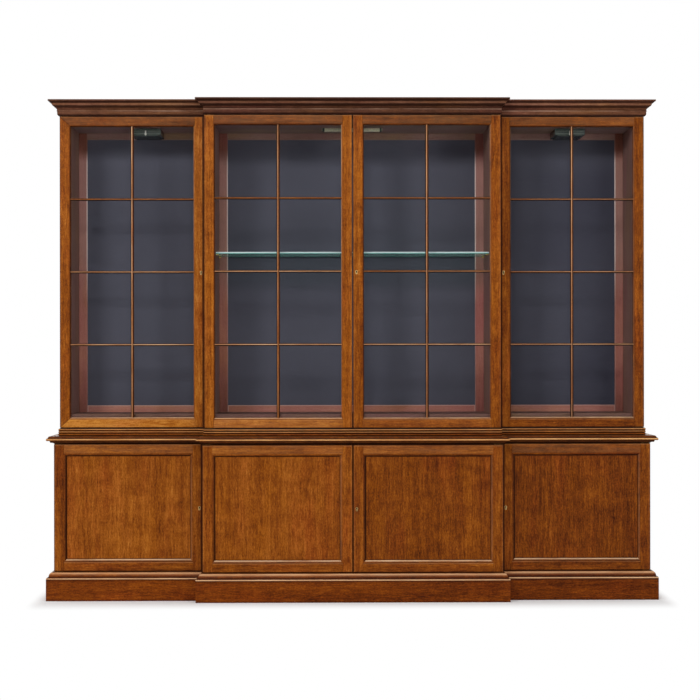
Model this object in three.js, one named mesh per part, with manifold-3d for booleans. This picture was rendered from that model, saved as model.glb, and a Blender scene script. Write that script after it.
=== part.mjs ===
// Breakfront bookcase: a glazed upper case with four doors stands on a panelled
// cupboard base with four doors. The middle section stands forward of the two wings.
// Millimetres, +Z up, front towards -Y, origin at the middle of the footprint.

import * as THREE from 'three';
import { mergeVertices } from 'three/addons/utils/BufferGeometryUtils.js';
import Module from 'manifold-3d';

const wasm = await Module();
wasm.setup();

// Overall sizes
const total_height = 2286;
const base_width = 2728;
const base_centre_width = 1366;
const base_depth = 352;
const upper_width = 2680;
const upper_centre_width = 1352;
const upper_depth = 325;
const centre_step = 76;

// Heights of the horizontal members, from the floor up
const plinth_flat_height = 98;
const plinth_moulding_height = 33;
const base_case_height = 584;
const base_top_thickness = 35;
const upper_floor_thickness = 34.4;
const waist_moulding_height = 32.7;
const cornice_height = 71.5;
const upper_top_thickness = 20;

// How far each moulding stands out from the case below or above it
const plinth_projection = 33;
const base_top_projection = 32;
const waist_projection = 6.5;
const waist_quirk_projection = 2.5;
const cornice_projection = 48;

// How much less a moulding stands out on the returns of the middle section
const plinth_return_tuck = 4;
const base_top_return_tuck = 5;
const waist_return_tuck = 4;
const cornice_return_tuck = 10.5;
const return_lip = 2.4;

// Moulding profiles, as shares of projection and height. The third entry says how
// the curve from the point before leaves it, and a point without one is reached straight.
const LEVEL = 'level';
const UPRIGHT = 'upright';
const plinth_shares = [
  [1, 0],
  [0.94, 0.02],
  [1, 0.1, LEVEL],
  [0.94, 0.19, UPRIGHT],
  [0.88, 0.2],
  [0.67, 0.39, LEVEL],
  [0.12, 0.97, UPRIGHT],
  [0.12, 1],
];
const base_top_shares = [
  [0, 0],
  [0.37, 0.14, UPRIGHT],
  [0.53, 0.31, LEVEL],
  [0.56, 0.39],
  [0.91, 0.39],
  [1, 0.54, LEVEL],
  [0.91, 0.71, UPRIGHT],
  [0.8, 0.73],
  [0.78, 0.77],
  [0.4, 1, UPRIGHT],
];
const cornice_shares = [
  [0.05, 0],
  [0.21, 0.14, LEVEL],
  [0.21, 0.28],
  [0.26, 0.315, LEVEL],
  [0.21, 0.35, UPRIGHT],
  [0.22, 0.365],
  [0.39, 0.53, UPRIGHT],
  [0.44, 0.54],
  [0.44, 0.58],
  [0.68, 0.78, LEVEL],
  [0.79, 0.8],
  [0.95, 0.895, UPRIGHT],
  [1, 0.9],
  [1, 1],
];
const waist_reeds = 3;
const curve_steps = 5;

// Boards
const fit = 0.3;
const overrun = 5;
const base_side_thickness = 24;
const base_back_thickness = 12;
const base_floor_thickness = 20;
const plinth_wall = 24;
const plinth_ledge = 18;
const upper_wall_thickness = 50;
const upper_skin_thickness = 22;
const upper_lining_thickness = 10;
const upper_batten_depth = 22;
const back_frame_thickness = 14;
const back_frame_stile = 40;
const back_frame_bottom_rail = 31;
const back_frame_top_rail = 30;
const back_lining_thickness = 9;
const display_floor_rise = 65;
const display_floor_thickness = 18;
const ceiling_drop = 46.5;
const ceiling_thickness = 12;
const case_rail_thickness = 18;
const cornice_seat = 40;

// Doors
const door_thickness = 24;
const door_back_gap = 2;
const door_gap = 2;
const door_end_gap = 2.5;
const meeting_gap = 3;
const glazed_stile_width = 50;
const glazed_rail_width = 46;
const glazed_moulding_width = 6;
const glazed_moulding_depth = 7;
const panelled_stile_width = 57;
const panelled_rail_width = 54;
const panelled_moulding_width = 12;
const panelled_moulding_depth = 10;
const frame_quirk = 0.9;
const groove_depth = 8;
const glass_thickness = 4;
const glass_setback = 12;
const panel_thickness = 8;
const panel_setback = 11;
const bar_width = 15;
const cross_bar_width = 11;
const bar_setback = 2;
const cross_bars = 3;
const bar_face_share = 0.34;
const bar_shoulder_share = 0.33;

// Knife hinges let into the boards above and below each door
const pivot_inset = 6.5;
const pivot_setback = 11;
const pin_radius = 4;
const pin_reach = 12;
const pin_clearance = 0.4;
const pin_sides = 16;
const leaf_length = 40;
const leaf_width = 11;
const leaf_thickness = 3.5;
const leaf_let_in = 2.5;
const leaf_end = 4.5;

// Locks
const lock_backset = 16;
const bolt_length = 28;
const bolt_thickness = 6;
const bolt_height = 20;
const bolt_setback = 16;
const bolt_sunk = 0.5;
const keeper_depth = 7;
const keyhole_radius = 3.2;
const keyhole_slot_width = 3;
const keyhole_slot_length = 10;
const keyhole_sides = 12;

// Glass shelf in the middle section
const shelf_level = 1583;
const shelf_thickness = 8;
const shelf_front_gap = 30;
const shelf_side_gap = 1;
const shelf_pin_radius = 3;
const shelf_pin_length = 12;
const shelf_pin_inset = 45;
const shelf_pin_sides = 12;

// Display lights under the ceilings
const lamp_width = 140;
const lamp_height = 34;
const lamp_depth = 200;
const lamp_back_gap = 12;
const lamp_taper = 10;
const lamp_offset = 28;
const bulb_radius = 5;
const bulb_length = 22;
const bulb_sides = 10;
const bulb_drop = 10;
const strip_length = 280;
const strip_height = 17;
const strip_depth = 30;
const strip_front_gap = 110;
const strip_end_share = 0.45;
const strip_shoulder_share = 0.12;

// Levels and planes worked out from the sizes above
const plinth_height = plinth_flat_height + plinth_moulding_height;
const base_case_top = plinth_height + base_case_height;
const base_top_level = base_case_top + base_top_thickness;
const upper_floor_level = base_top_level + fit + upper_floor_thickness;
const cornice_level = total_height - cornice_height;
const display_floor_level = upper_floor_level + display_floor_rise;
const ceiling_level = cornice_level - ceiling_drop;
const back = (base_depth + centre_step + plinth_projection) / 2;

const base = {
  half: base_width / 2,
  centreHalf: base_centre_width / 2,
  wingFront: back - base_depth,
  centreFront: back - base_depth - centre_step,
};
const upper = {
  half: upper_width / 2,
  centreHalf: upper_centre_width / 2,
  wingFront: back - upper_depth,
  centreFront: back - upper_depth - centre_step,
};
const case_setback = door_thickness + door_back_gap;
const back_frame_front = back - back_lining_thickness - fit - back_frame_thickness;
const upper_wall_face = upper.half - upper_wall_thickness;
const divider_face = upper.centreHalf - upper_wall_thickness;

// Materials
function finish(color, roughness, metalness) {
  return new THREE.MeshStandardMaterial({ color, roughness, metalness });
}

const mahogany = finish(0x8a4a1c, 0.35, 0);
const dark_mahogany = finish(0x5d3022, 0.4, 0);
const inner_mahogany = finish(0x73463e, 0.55, 0);
const carcass_wood = finish(0x6b4426, 0.7, 0);
const slate_cloth = finish(0x3c3a44, 0.9, 0);
const pane_glass = finish(0xb8c4c0, 0.05, 0);
const shelf_glass = finish(0x4f7a6c, 0.05, 0);
const brass = finish(0xb08d48, 0.3, 1);
const lamp_body = finish(0x3a3d3c, 0.3, 0.2);
const lamp_diffuser = finish(0xcfc8a8, 0.5, 0);

// Solids
function toSolid(geometry) {
  const bare = geometry.clone();
  bare.deleteAttribute('normal');
  bare.deleteAttribute('uv');
  const merged = mergeVertices(bare);
  return new wasm.Manifold(new wasm.Mesh({
    numProp: 3,
    vertProperties: new Float32Array(merged.attributes.position.array),
    triVerts: new Uint32Array(merged.index.array),
  }));
}

function toMesh(name, solid, material) {
  const { vertProperties, triVerts } = solid.getMesh();
  const geometry = new THREE.BufferGeometry();
  geometry.setAttribute('position', new THREE.BufferAttribute(new Float32Array(vertProperties), 3));
  geometry.setIndex(new THREE.BufferAttribute(new Uint32Array(triVerts), 1));
  geometry.computeVertexNormals();
  const mesh = new THREE.Mesh(geometry, material);
  mesh.name = name;
  return mesh;
}

function box(x0, x1, y0, y1, z0, z1) {
  const geometry = new THREE.BoxGeometry(x1 - x0, y1 - y0, z1 - z0);
  geometry.translate((x0 + x1) / 2, (y0 + y1) / 2, (z0 + z1) / 2);
  return toSolid(geometry);
}

// A box whose x extent is given by an edge and a signed run from it
function boxFrom(x, run, y0, y1, z0, z1) {
  return box(Math.min(x, x + run), Math.max(x, x + run), y0, y1, z0, z1);
}

function uprightCylinder(x, y, radius, z0, z1, sides) {
  const geometry = new THREE.CylinderGeometry(radius, radius, z1 - z0, sides);
  geometry.rotateX(Math.PI / 2);
  geometry.translate(x, y, (z0 + z1) / 2);
  return toSolid(geometry);
}

function crosswiseCylinder(x0, x1, y, z, radius, sides) {
  const geometry = new THREE.CylinderGeometry(radius, radius, x1 - x0, sides);
  geometry.rotateZ(Math.PI / 2);
  geometry.translate((x0 + x1) / 2, y, z);
  return toSolid(geometry);
}

// Joins a list of rings with equal counts, each turning left about the way they advance
function loft(rings, flatten) {
  const count = rings[0].length;
  const index = [];
  for (let i = 0; i + 1 < rings.length; i += 1) {
    for (let j = 0; j < count; j += 1) {
      const a = i * count + j;
      const b = i * count + (j + 1) % count;
      index.push(a, b, b + count, a, b + count, a + count);
    }
  }
  const last = (rings.length - 1) * count;
  const top = THREE.ShapeUtils.triangulateShape(rings.at(-1).map(flatten), []);
  const bottom = THREE.ShapeUtils.triangulateShape(rings[0].map(flatten), []);
  top.forEach(([a, b, c]) => index.push(last + a, last + b, last + c));
  bottom.forEach(([a, b, c]) => index.push(a, c, b));
  const geometry = new THREE.BufferGeometry();
  const corners = rings.flat().flatMap((v) => [v.x, v.y, v.z]);
  geometry.setAttribute('position', new THREE.Float32BufferAttribute(corners, 3));
  geometry.setIndex(index);
  return toSolid(geometry);
}

const fromAbove = (v) => new THREE.Vector2(v.x, v.y);
const fromBehind = (v) => new THREE.Vector2(v.z, v.x);

// The breakfront outline at one level, stood out by p on its fronts and ends, and
// by the tuck less on the returns of the middle section
function outline(body, p, z, backShift, tuck) {
  const side = p > return_lip ? Math.max(p - tuck, return_lip) : p;
  const left = [
    [-body.half - p, back + backShift],
    [-body.half - p, body.wingFront - p],
    [-body.centreHalf - side, body.wingFront - p],
    [-body.centreHalf - side, body.centreFront - p],
  ];
  const right = left.map(([x, y]) => [-x, y]).reverse();
  return [...left, ...right].map(([x, y]) => new THREE.Vector3(x, y, z));
}

function slab(body, p, z0, z1, backShift) {
  return loft([z0, z1].map((z) => outline(body, p, z, backShift, 0)), fromAbove);
}

function mouldedSlab(body, points, tuck) {
  return loft(points.map(([p, z]) => outline(body, p, z, 0, tuck)), fromAbove);
}

// Quarter curve between two profile points
function quarter([p0, z0], [p1, z1], leaves) {
  const points = [];
  for (let i = 1; i <= curve_steps; i += 1) {
    const turn = (i / curve_steps) * (Math.PI / 2);
    const early = Math.sin(turn);
    const late = 1 - Math.cos(turn);
    const across = leaves === LEVEL ? early : late;
    const up = leaves === LEVEL ? late : early;
    points.push([p0 + (p1 - p0) * across, z0 + (z1 - z0) * up]);
  }
  return points;
}

function profile(shares, projection, z0, height) {
  const points = [];
  shares.forEach(([pShare, zShare, leaves]) => {
    const point = [pShare * projection, z0 + zShare * height];
    points.push(...(leaves ? quarter(points.at(-1), point, leaves) : [point]));
  });
  return points;
}

// Doors: which case they belong to, their edges, and which side turns and locks
function doorsOf(tier, body, z0, z1) {
  const wing = body.centreHalf + door_gap;
  const height = { z0: z0 + door_end_gap, z1: z1 - door_end_gap };
  const inner = meeting_gap / 2;
  const middle = { front: body.centreFront };
  const side = { front: body.wingFront };
  const edges = [
    { place: 'left', ...side, x0: -body.half, x1: -wing, hinge: -1, lock: 1 },
    { place: 'centre_left', ...middle, x0: -body.centreHalf, x1: -inner, hinge: -1, lock: 0 },
    { place: 'centre_right', ...middle, x0: inner, x1: body.centreHalf, hinge: 1, lock: -1 },
    { place: 'right', ...side, x0: wing, x1: body.half, hinge: 1, lock: -1 },
  ];
  return edges.map((edge) => ({ ...edge, ...height, name: `${tier}_${edge.place}` }));
}

const base_doors = doorsOf('lower', base, plinth_height, base_case_top);
const upper_doors = doorsOf('upper', upper, upper_floor_level, cornice_level);

const lockLevel = (door) => (door.z0 + door.z1) / 2;
const lockEdge = (door) => (door.lock > 0 ? door.x1 : door.x0);
const pivotX = (door) => (door.hinge < 0 ? door.x0 + pivot_inset : door.x1 - pivot_inset);
const pivotY = (door) => door.front + pivot_setback;

// Hinge leaf with its pin: up is 1 for a leaf below the door and -1 for one above it
function hingeLeaf(door, level, up, spare) {
  const x = pivotX(door) + door.hinge * (leaf_end + spare);
  const run = -door.hinge * (leaf_length + 2 * spare);
  const y = pivotY(door);
  const half = leaf_width / 2 + spare;
  const sunk = level - up * (leaf_let_in + spare);
  const proud = level + up * (leaf_thickness - leaf_let_in + spare);
  return boxFrom(x, run, y - half, y + half, Math.min(sunk, proud), Math.max(sunk, proud));
}

function hinge(door, level, up) {
  const end = level + up * (door_end_gap + pin_reach);
  const z0 = Math.min(level, end);
  const z1 = Math.max(level, end);
  const pin = uprightCylinder(pivotX(door), pivotY(door), pin_radius, z0, z1, pin_sides);
  return hingeLeaf(door, level, up, 0).add(pin);
}

function withHingePockets(solid, doors, level, up) {
  return doors.reduce((cut, door) => cut.subtract(hingeLeaf(door, level, up, fit)), solid);
}

// Lock bolt, drawn back into the door, and the space that one of the given size needs
function boltSpace(door, from, to, spare) {
  const y = door.front + bolt_setback;
  const z = lockLevel(door);
  const thick = bolt_thickness / 2 + spare;
  const tall = bolt_height / 2 + spare;
  const x0 = lockEdge(door) + door.lock * from;
  return boxFrom(x0, door.lock * (to - from), y - thick, y + thick, z - tall, z + tall);
}

const bolt = (door) => boltSpace(door, -bolt_sunk - bolt_length, -bolt_sunk, 0);
const boltPocket = (door) => boltSpace(door, -bolt_sunk - bolt_length - fit, overrun, fit);
const keeper = (door, gap) => boltSpace(door, -overrun, gap + keeper_depth, fit);

function keyhole(door) {
  const shape = new THREE.Shape();
  const lift = Math.asin(keyhole_slot_width / 2 / keyhole_radius);
  const first = -Math.PI / 2 + lift;
  const sweep = 2 * Math.PI - 2 * lift;
  shape.moveTo(keyhole_radius * Math.cos(first), keyhole_radius * Math.sin(first));
  for (let i = 1; i <= keyhole_sides; i += 1) {
    const angle = first + (i / keyhole_sides) * sweep;
    shape.lineTo(keyhole_radius * Math.cos(angle), keyhole_radius * Math.sin(angle));
  }
  shape.lineTo(-keyhole_slot_width / 2, -keyhole_slot_length);
  shape.lineTo(keyhole_slot_width / 2, -keyhole_slot_length);
  const depth = bolt_setback + overrun;
  const geometry = new THREE.ExtrudeGeometry(shape, { depth, bevelEnabled: false });
  const x = lockEdge(door) - door.lock * lock_backset;
  geometry.rotateX(Math.PI / 2);
  geometry.translate(x, door.front + bolt_setback, lockLevel(door));
  return toSolid(geometry);
}

// How each kind of door is framed, and where its glass or panel sits
const glazing = {
  stile: glazed_stile_width,
  rail: glazed_rail_width,
  mouldingWidth: glazed_moulding_width,
  mouldingDepth: glazed_moulding_depth,
  setback: glass_setback,
  thickness: glass_thickness,
};
const panelling = {
  stile: panelled_stile_width,
  rail: panelled_rail_width,
  mouldingWidth: panelled_moulding_width,
  mouldingDepth: panelled_moulding_depth,
  setback: panel_setback,
  thickness: panel_thickness,
};

// The space inside a door frame, front to back: a moulded edge, the opening and a groove
function frameSpace(door, framing) {
  const ring = (q, depth) => {
    const x0 = door.x0 + framing.stile - q;
    const x1 = door.x1 - framing.stile + q;
    const z0 = door.z0 + framing.rail - q;
    const z1 = door.z1 - framing.rail + q;
    const y = door.front + depth;
    return [[x0, z0], [x0, z1], [x1, z1], [x1, z0]].map(([x, z]) => new THREE.Vector3(x, y, z));
  };
  const grooveStart = framing.setback - fit;
  const grooveEnd = framing.setback + framing.thickness + fit;
  const shoulder = framing.mouldingWidth - frame_quirk;
  const edge = quarter([shoulder, frame_quirk], [0, framing.mouldingDepth], LEVEL);
  const rings = [
    ring(framing.mouldingWidth, -overrun),
    ring(framing.mouldingWidth, frame_quirk),
    ring(shoulder, frame_quirk),
    ...edge.map(([q, depth]) => ring(q, depth)),
    ring(0, grooveStart),
    ring(groove_depth, grooveStart),
    ring(groove_depth, grooveEnd),
    ring(0, grooveEnd),
    ring(0, door_thickness + overrun),
  ];
  return loft(rings, fromBehind);
}

function doorFrame(door, framing) {
  let frame = box(door.x0, door.x1, door.front, door.front + door_thickness, door.z0, door.z1);
  frame = frame.subtract(frameSpace(door, framing));
  const hole = pin_radius + pin_clearance;
  const reach = pin_reach + fit;
  const bottom = [door.z0 - overrun, door.z0 + reach];
  const top = [door.z1 - reach, door.z1 + overrun];
  [bottom, top].forEach(([z0, z1]) => {
    frame = frame.subtract(uprightCylinder(pivotX(door), pivotY(door), hole, z0, z1, pin_sides));
  });
  return door.lock ? frame.subtract(boltPocket(door)).subtract(keyhole(door)) : frame;
}

function infill(door, framing) {
  const reach = groove_depth - 2 * fit;
  const y0 = door.front + framing.setback;
  return box(
    door.x0 + framing.stile - reach,
    door.x1 - framing.stile + reach,
    y0,
    y0 + framing.thickness,
    door.z0 + framing.rail - reach,
    door.z1 - framing.rail + reach,
  );
}

// Glazing bars: a flat back against the glass and a narrower rounded front
function barSection(width, depth) {
  const face = width * bar_face_share / 2;
  const section = new THREE.Shape();
  const shoulder = depth * bar_shoulder_share;
  section.moveTo(-width / 2, 0);
  section.lineTo(width / 2, 0);
  section.lineTo(width / 2, shoulder);
  section.lineTo(face, depth);
  section.lineTo(-face, depth);
  section.lineTo(-width / 2, shoulder);
  return section;
}

function glazingBars(door) {
  const depth = glass_setback - fit - bar_setback;
  const y = door.front + bar_setback + depth;
  const x0 = door.x0 + glazed_stile_width;
  const x1 = door.x1 - glazed_stile_width;
  const z0 = door.z0 + glazed_rail_width;
  const z1 = door.z1 - glazed_rail_width;
  const tall = z1 - z0 + 2 * fit;
  const wide = x1 - x0 + 2 * fit;
  const plain = { bevelEnabled: false };
  const upright = new THREE.ExtrudeGeometry(barSection(bar_width, depth), { ...plain, depth: tall });
  upright.rotateZ(Math.PI);
  upright.translate((x0 + x1) / 2, y, z0 - fit);
  let bars = toSolid(upright);
  for (let i = 1; i <= cross_bars; i += 1) {
    const bar = new THREE.ExtrudeGeometry(barSection(cross_bar_width, depth), { ...plain, depth: wide });
    bar.rotateZ(Math.PI);
    bar.rotateY(Math.PI / 2);
    bar.translate(x0 - fit, y, z0 + (z1 - z0) * (i / (cross_bars + 1)));
    bars = bars.add(toSolid(bar));
  }
  return bars;
}

function glazedDoor(door) {
  const frame = doorFrame(door, glazing).add(glazingBars(door));
  const glass = infill(door, glazing);
  return [
    toMesh(`${door.name}_door_frame`, frame, mahogany),
    toMesh(`${door.name}_door_glass`, glass, pane_glass),
  ];
}

function panelledDoor(door) {
  const frame = doorFrame(door, panelling);
  const panel = infill(door, panelling);
  return [
    toMesh(`${door.name}_door_frame`, frame, mahogany),
    toMesh(`${door.name}_door_panel`, panel, mahogany),
  ];
}

// The right leaf of a pair bolts into the left one, and a wing door into the divider
function withMeetingKeeper(meshes, doors) {
  const [, left, right] = doors;
  const frame = meshes.find((mesh) => mesh.name === `${left.name}_door_frame`);
  const cut = toSolid(frame.geometry).subtract(keeper(right, meeting_gap));
  return meshes.map((mesh) => (mesh === frame ? toMesh(mesh.name, cut, mesh.material) : mesh));
}

function doorFurniture(door, low, high) {
  const parts = [
    toMesh(`${door.name}_hinge_bottom`, hinge(door, low, 1), brass),
    toMesh(`${door.name}_hinge_top`, hinge(door, high, -1), brass),
  ];
  if (door.lock) {
    parts.push(toMesh(`${door.name}_lock_bolt`, bolt(door), brass));
  }
  return parts;
}

// Cupboard base
function plinth() {
  const points = [
    [plinth_projection, 0],
    ...profile(plinth_shares, plinth_projection, plinth_flat_height, plinth_moulding_height),
  ];
  const seat = plinth_height - base_floor_thickness - fit;
  const above = plinth_height + overrun;
  const inset = plinth_wall + plinth_ledge;
  const hollow = slab(base, -inset, -overrun, above, -inset);
  const rebate = slab(base, -plinth_wall, seat, above, -plinth_wall);
  const ring = mouldedSlab(base, points, plinth_return_tuck).subtract(hollow).subtract(rebate);
  return toMesh('plinth', withHingePockets(ring, base_doors, plinth_height, 1), mahogany);
}

function baseFloor() {
  const inset = plinth_wall + fit;
  const z0 = plinth_height - base_floor_thickness;
  return toMesh('base_floor', slab(base, -inset, z0, plinth_height, -inset), carcass_wood);
}

function baseTop() {
  const points = profile(base_top_shares, base_top_projection, base_case_top, base_top_thickness);
  const board = mouldedSlab(base, points, base_top_return_tuck);
  return toMesh('base_top', withHingePockets(board, base_doors, base_case_top, -1), mahogany);
}

function baseSide(name, side) {
  const z0 = plinth_height + fit;
  const z1 = base_case_top - fit;
  const run = -side * base_side_thickness;
  const board = boxFrom(side * base.half, run, base.wingFront + case_setback, back, z0, z1);
  return toMesh(name, board, mahogany);
}

function baseDivider(name, side, wingDoor) {
  const z0 = plinth_height + fit;
  const z1 = base_case_top - fit;
  const run = -side * base_side_thickness;
  const rear = back - base_back_thickness - fit;
  const board = boxFrom(side * base.centreHalf, run, base.centreFront + case_setback, rear, z0, z1);
  return toMesh(name, board.subtract(keeper(wingDoor, door_gap)), carcass_wood);
}

function baseBack() {
  const half = base.half - base_side_thickness - fit;
  const z0 = plinth_height + fit;
  const z1 = base_case_top - fit;
  return toMesh('base_back', box(-half, half, back - base_back_thickness, back, z0, z1), carcass_wood);
}

// Upper case
const bays = [
  { x0: -upper_wall_face, x1: -upper.centreHalf, front: upper.wingFront + case_setback },
  { x0: -divider_face, x1: divider_face, front: upper.centreFront + case_setback },
  { x0: upper.centreHalf, x1: upper_wall_face, front: upper.wingFront + case_setback },
];

// A board across one bay, carried on a rail along its front and one along its back
function raisedBoard(bay, z0, z1, thickness, up) {
  const x0 = bay.x0 + fit;
  const x1 = bay.x1 - fit;
  const rear = back_frame_front - fit;
  const face = up > 0 ? [z1 - thickness, z1] : [z0, z0 + thickness];
  return box(x0, x1, bay.front, rear, face[0], face[1])
    .add(box(x0, x1, bay.front, bay.front + case_rail_thickness, z0, z1))
    .add(box(x0, x1, rear - case_rail_thickness, rear, z0, z1));
}

function upperFloor() {
  const bottom = base_top_level + fit;
  const rooted = upper_floor_level - fit;
  let floor = slab(upper, 0, bottom, upper_floor_level, 0);
  bays.forEach((bay) => {
    floor = floor.add(raisedBoard(bay, rooted, display_floor_level, display_floor_thickness, 1));
  });
  const pocketed = withHingePockets(floor, upper_doors, upper_floor_level, 1);
  return toMesh('upper_floor', pocketed, inner_mahogany);
}

function upperTop() {
  let top = slab(upper, 0, cornice_level, cornice_level + upper_top_thickness, 0);
  bays.forEach((bay) => {
    top = top.add(raisedBoard(bay, ceiling_level, cornice_level + fit, ceiling_thickness, -1));
  });
  return toMesh('upper_top', withHingePockets(top, upper_doors, cornice_level, -1), inner_mahogany);
}

function waistMoulding() {
  const z0 = base_top_level + fit;
  const reed = waist_moulding_height / waist_reeds;
  const points = [[waist_quirk_projection, z0]];
  for (let i = 0; i < waist_reeds; i += 1) {
    const crest = [waist_projection, z0 + (i + 1 / 2) * reed];
    const quirk = [waist_quirk_projection, z0 + (i + 1) * reed];
    points.push(...quarter(points.at(-1), crest, LEVEL), ...quarter(crest, quirk, UPRIGHT));
  }
  const inside = slab(upper, fit, z0 - overrun, z0 + waist_moulding_height + overrun, overrun);
  const reeds = mouldedSlab(upper, points, waist_return_tuck);
  return toMesh('waist_moulding', reeds.subtract(inside), mahogany);
}

// A case side or divider: outer skin and inner lining over battens, open at both ends
function upperWall(side, outerHalf, front, rear) {
  const z0 = upper_floor_level + fit;
  const z1 = cornice_level - fit;
  const run = -side * upper_wall_thickness;
  const cavityRun = -side * (upper_wall_thickness - upper_skin_thickness - upper_lining_thickness);
  const cavityStart = side * (outerHalf - upper_skin_thickness);
  const cavityFront = front + upper_batten_depth;
  const cavityRear = rear - upper_batten_depth;
  return boxFrom(side * outerHalf, run, front, rear, z0, z1)
    .subtract(boxFrom(cavityStart, cavityRun, cavityFront, cavityRear, z0 - overrun, z1 + overrun));
}

function upperSide(name, side) {
  return toMesh(name, upperWall(side, upper.half, upper.wingFront + case_setback, back), mahogany);
}

function upperDivider(name, side, wingDoor) {
  const front = upper.centreFront + case_setback;
  const rear = back_frame_front - fit;
  let wall = upperWall(side, upper.centreHalf, front, rear).subtract(keeper(wingDoor, door_gap));
  const shelfFront = front + shelf_front_gap;
  const pinLevel = shelf_level - fit - shelf_pin_radius;
  const root = side * (divider_face + upper_lining_thickness / 2);
  const tip = side * (divider_face - shelf_pin_length);
  [shelfFront + shelf_pin_inset, rear - shelf_pin_inset].forEach((y) => {
    const [x0, x1] = [root, tip].sort((a, b) => a - b);
    wall = wall.add(crosswiseCylinder(x0, x1, y, pinLevel, shelf_pin_radius, shelf_pin_sides));
  });
  return toMesh(name, wall, mahogany);
}

function upperBackFrame() {
  const half = upper_wall_face - fit;
  const z0 = upper_floor_level + fit;
  const z1 = cornice_level - fit;
  let frame = box(-half, half, back_frame_front, back_frame_front + back_frame_thickness, z0, z1);
  bays.forEach((bay) => {
    frame = frame.subtract(box(
      bay.x0 + back_frame_stile,
      bay.x1 - back_frame_stile,
      back_frame_front - overrun,
      back + overrun,
      display_floor_level + back_frame_bottom_rail,
      ceiling_level - back_frame_top_rail,
    ));
  });
  return toMesh('upper_back_frame', frame, inner_mahogany);
}

function backLining() {
  const half = upper_wall_face - fit;
  const z0 = upper_floor_level + fit;
  const z1 = cornice_level - fit;
  return toMesh('back_lining', box(-half, half, back - back_lining_thickness, back, z0, z1), slate_cloth);
}

function cornice() {
  const seat = cornice_level + upper_top_thickness + fit;
  const points = profile(cornice_shares, cornice_projection, cornice_level, cornice_height);
  const below = cornice_level - overrun;
  const rebate = slab(upper, fit, below, seat, overrun);
  const hollow = slab(upper, -cornice_seat, below, total_height + overrun, -cornice_seat);
  const crown = mouldedSlab(upper, points, cornice_return_tuck);
  return toMesh('cornice', crown.subtract(rebate).subtract(hollow), dark_mahogany);
}

function glassShelf() {
  const half = divider_face - shelf_side_gap;
  const front = upper.centreFront + case_setback + shelf_front_gap;
  const rear = back_frame_front - shelf_side_gap;
  const sheet = box(-half, half, front, rear, shelf_level, shelf_level + shelf_thickness);
  return toMesh('glass_shelf', sheet, shelf_glass);
}

// Display lights: a tapered housing with a small bulb at its front, and a strip light
function lamp(name, x) {
  const top = ceiling_level - fit;
  const rear = back_frame_front - lamp_back_gap;
  const ring = (inset, z) => {
    const half = lamp_width / 2 - inset;
    const y0 = rear - lamp_depth + inset;
    const y1 = rear - inset;
    return [[x - half, y0], [x + half, y0], [x + half, y1], [x - half, y1]]
      .map(([px, py]) => new THREE.Vector3(px, py, z));
  };
  const housing = loft([
    ring(lamp_taper, top - lamp_height),
    ring(0, top - lamp_height + lamp_taper),
    ring(0, top),
  ], fromAbove);
  const y = rear - lamp_depth - bulb_radius / 2;
  const bulbTop = top - bulb_drop;
  const bulb = uprightCylinder(x, y, bulb_radius, bulbTop - bulb_length, bulbTop, bulb_sides);
  return toMesh(name, housing.add(bulb), lamp_body);
}

function stripLight() {
  const top = ceiling_level - fit;
  const y0 = upper.centreFront + case_setback + strip_front_gap;
  const ring = (z) => {
    const half = strip_length / 2;
    const shoulder = half * (1 - strip_shoulder_share);
    const taper = strip_depth * (1 - strip_end_share) / 2;
    const left = [[-half, y0 + strip_depth - taper], [-half, y0 + taper], [-shoulder, y0]];
    const right = left.map(([x, y]) => [-x, y]).reverse();
    const rearRight = [[shoulder, y0 + strip_depth], [-shoulder, y0 + strip_depth]];
    return [...left, ...right, ...rearRight].map(([x, y]) => new THREE.Vector3(x, y, z));
  };
  return toMesh('centre_light', loft([ring(top - strip_height), ring(top)], fromAbove), lamp_diffuser);
}

// Assembly
const bookcase = new THREE.Group();
bookcase.name = 'bookcase_cabinet';

bookcase.add(
  plinth(),
  baseFloor(),
  baseSide('base_left_side', -1),
  baseSide('base_right_side', 1),
  baseDivider('base_left_divider', -1, base_doors[0]),
  baseDivider('base_right_divider', 1, base_doors[3]),
  baseBack(),
  baseTop(),
  waistMoulding(),
  upperFloor(),
  upperSide('upper_left_side', -1),
  upperSide('upper_right_side', 1),
  upperDivider('upper_left_divider', -1, upper_doors[0]),
  upperDivider('upper_right_divider', 1, upper_doors[3]),
  upperBackFrame(),
  backLining(),
  upperTop(),
  cornice(),
  glassShelf(),
  lamp('left_light', (bays[0].x0 + bays[0].x1) / 2 + lamp_offset),
  stripLight(),
  lamp('right_light', (bays[2].x0 + bays[2].x1) / 2 + lamp_offset),
);
bookcase.add(...withMeetingKeeper(base_doors.flatMap(panelledDoor), base_doors));
bookcase.add(...withMeetingKeeper(upper_doors.flatMap(glazedDoor), upper_doors));
bookcase.add(...base_doors.flatMap((door) => doorFurniture(door, plinth_height, base_case_top)));
bookcase.add(...upper_doors.flatMap((door) => doorFurniture(door, upper_floor_level, cornice_level)));

export default bookcase;
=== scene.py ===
import math
import random

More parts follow.
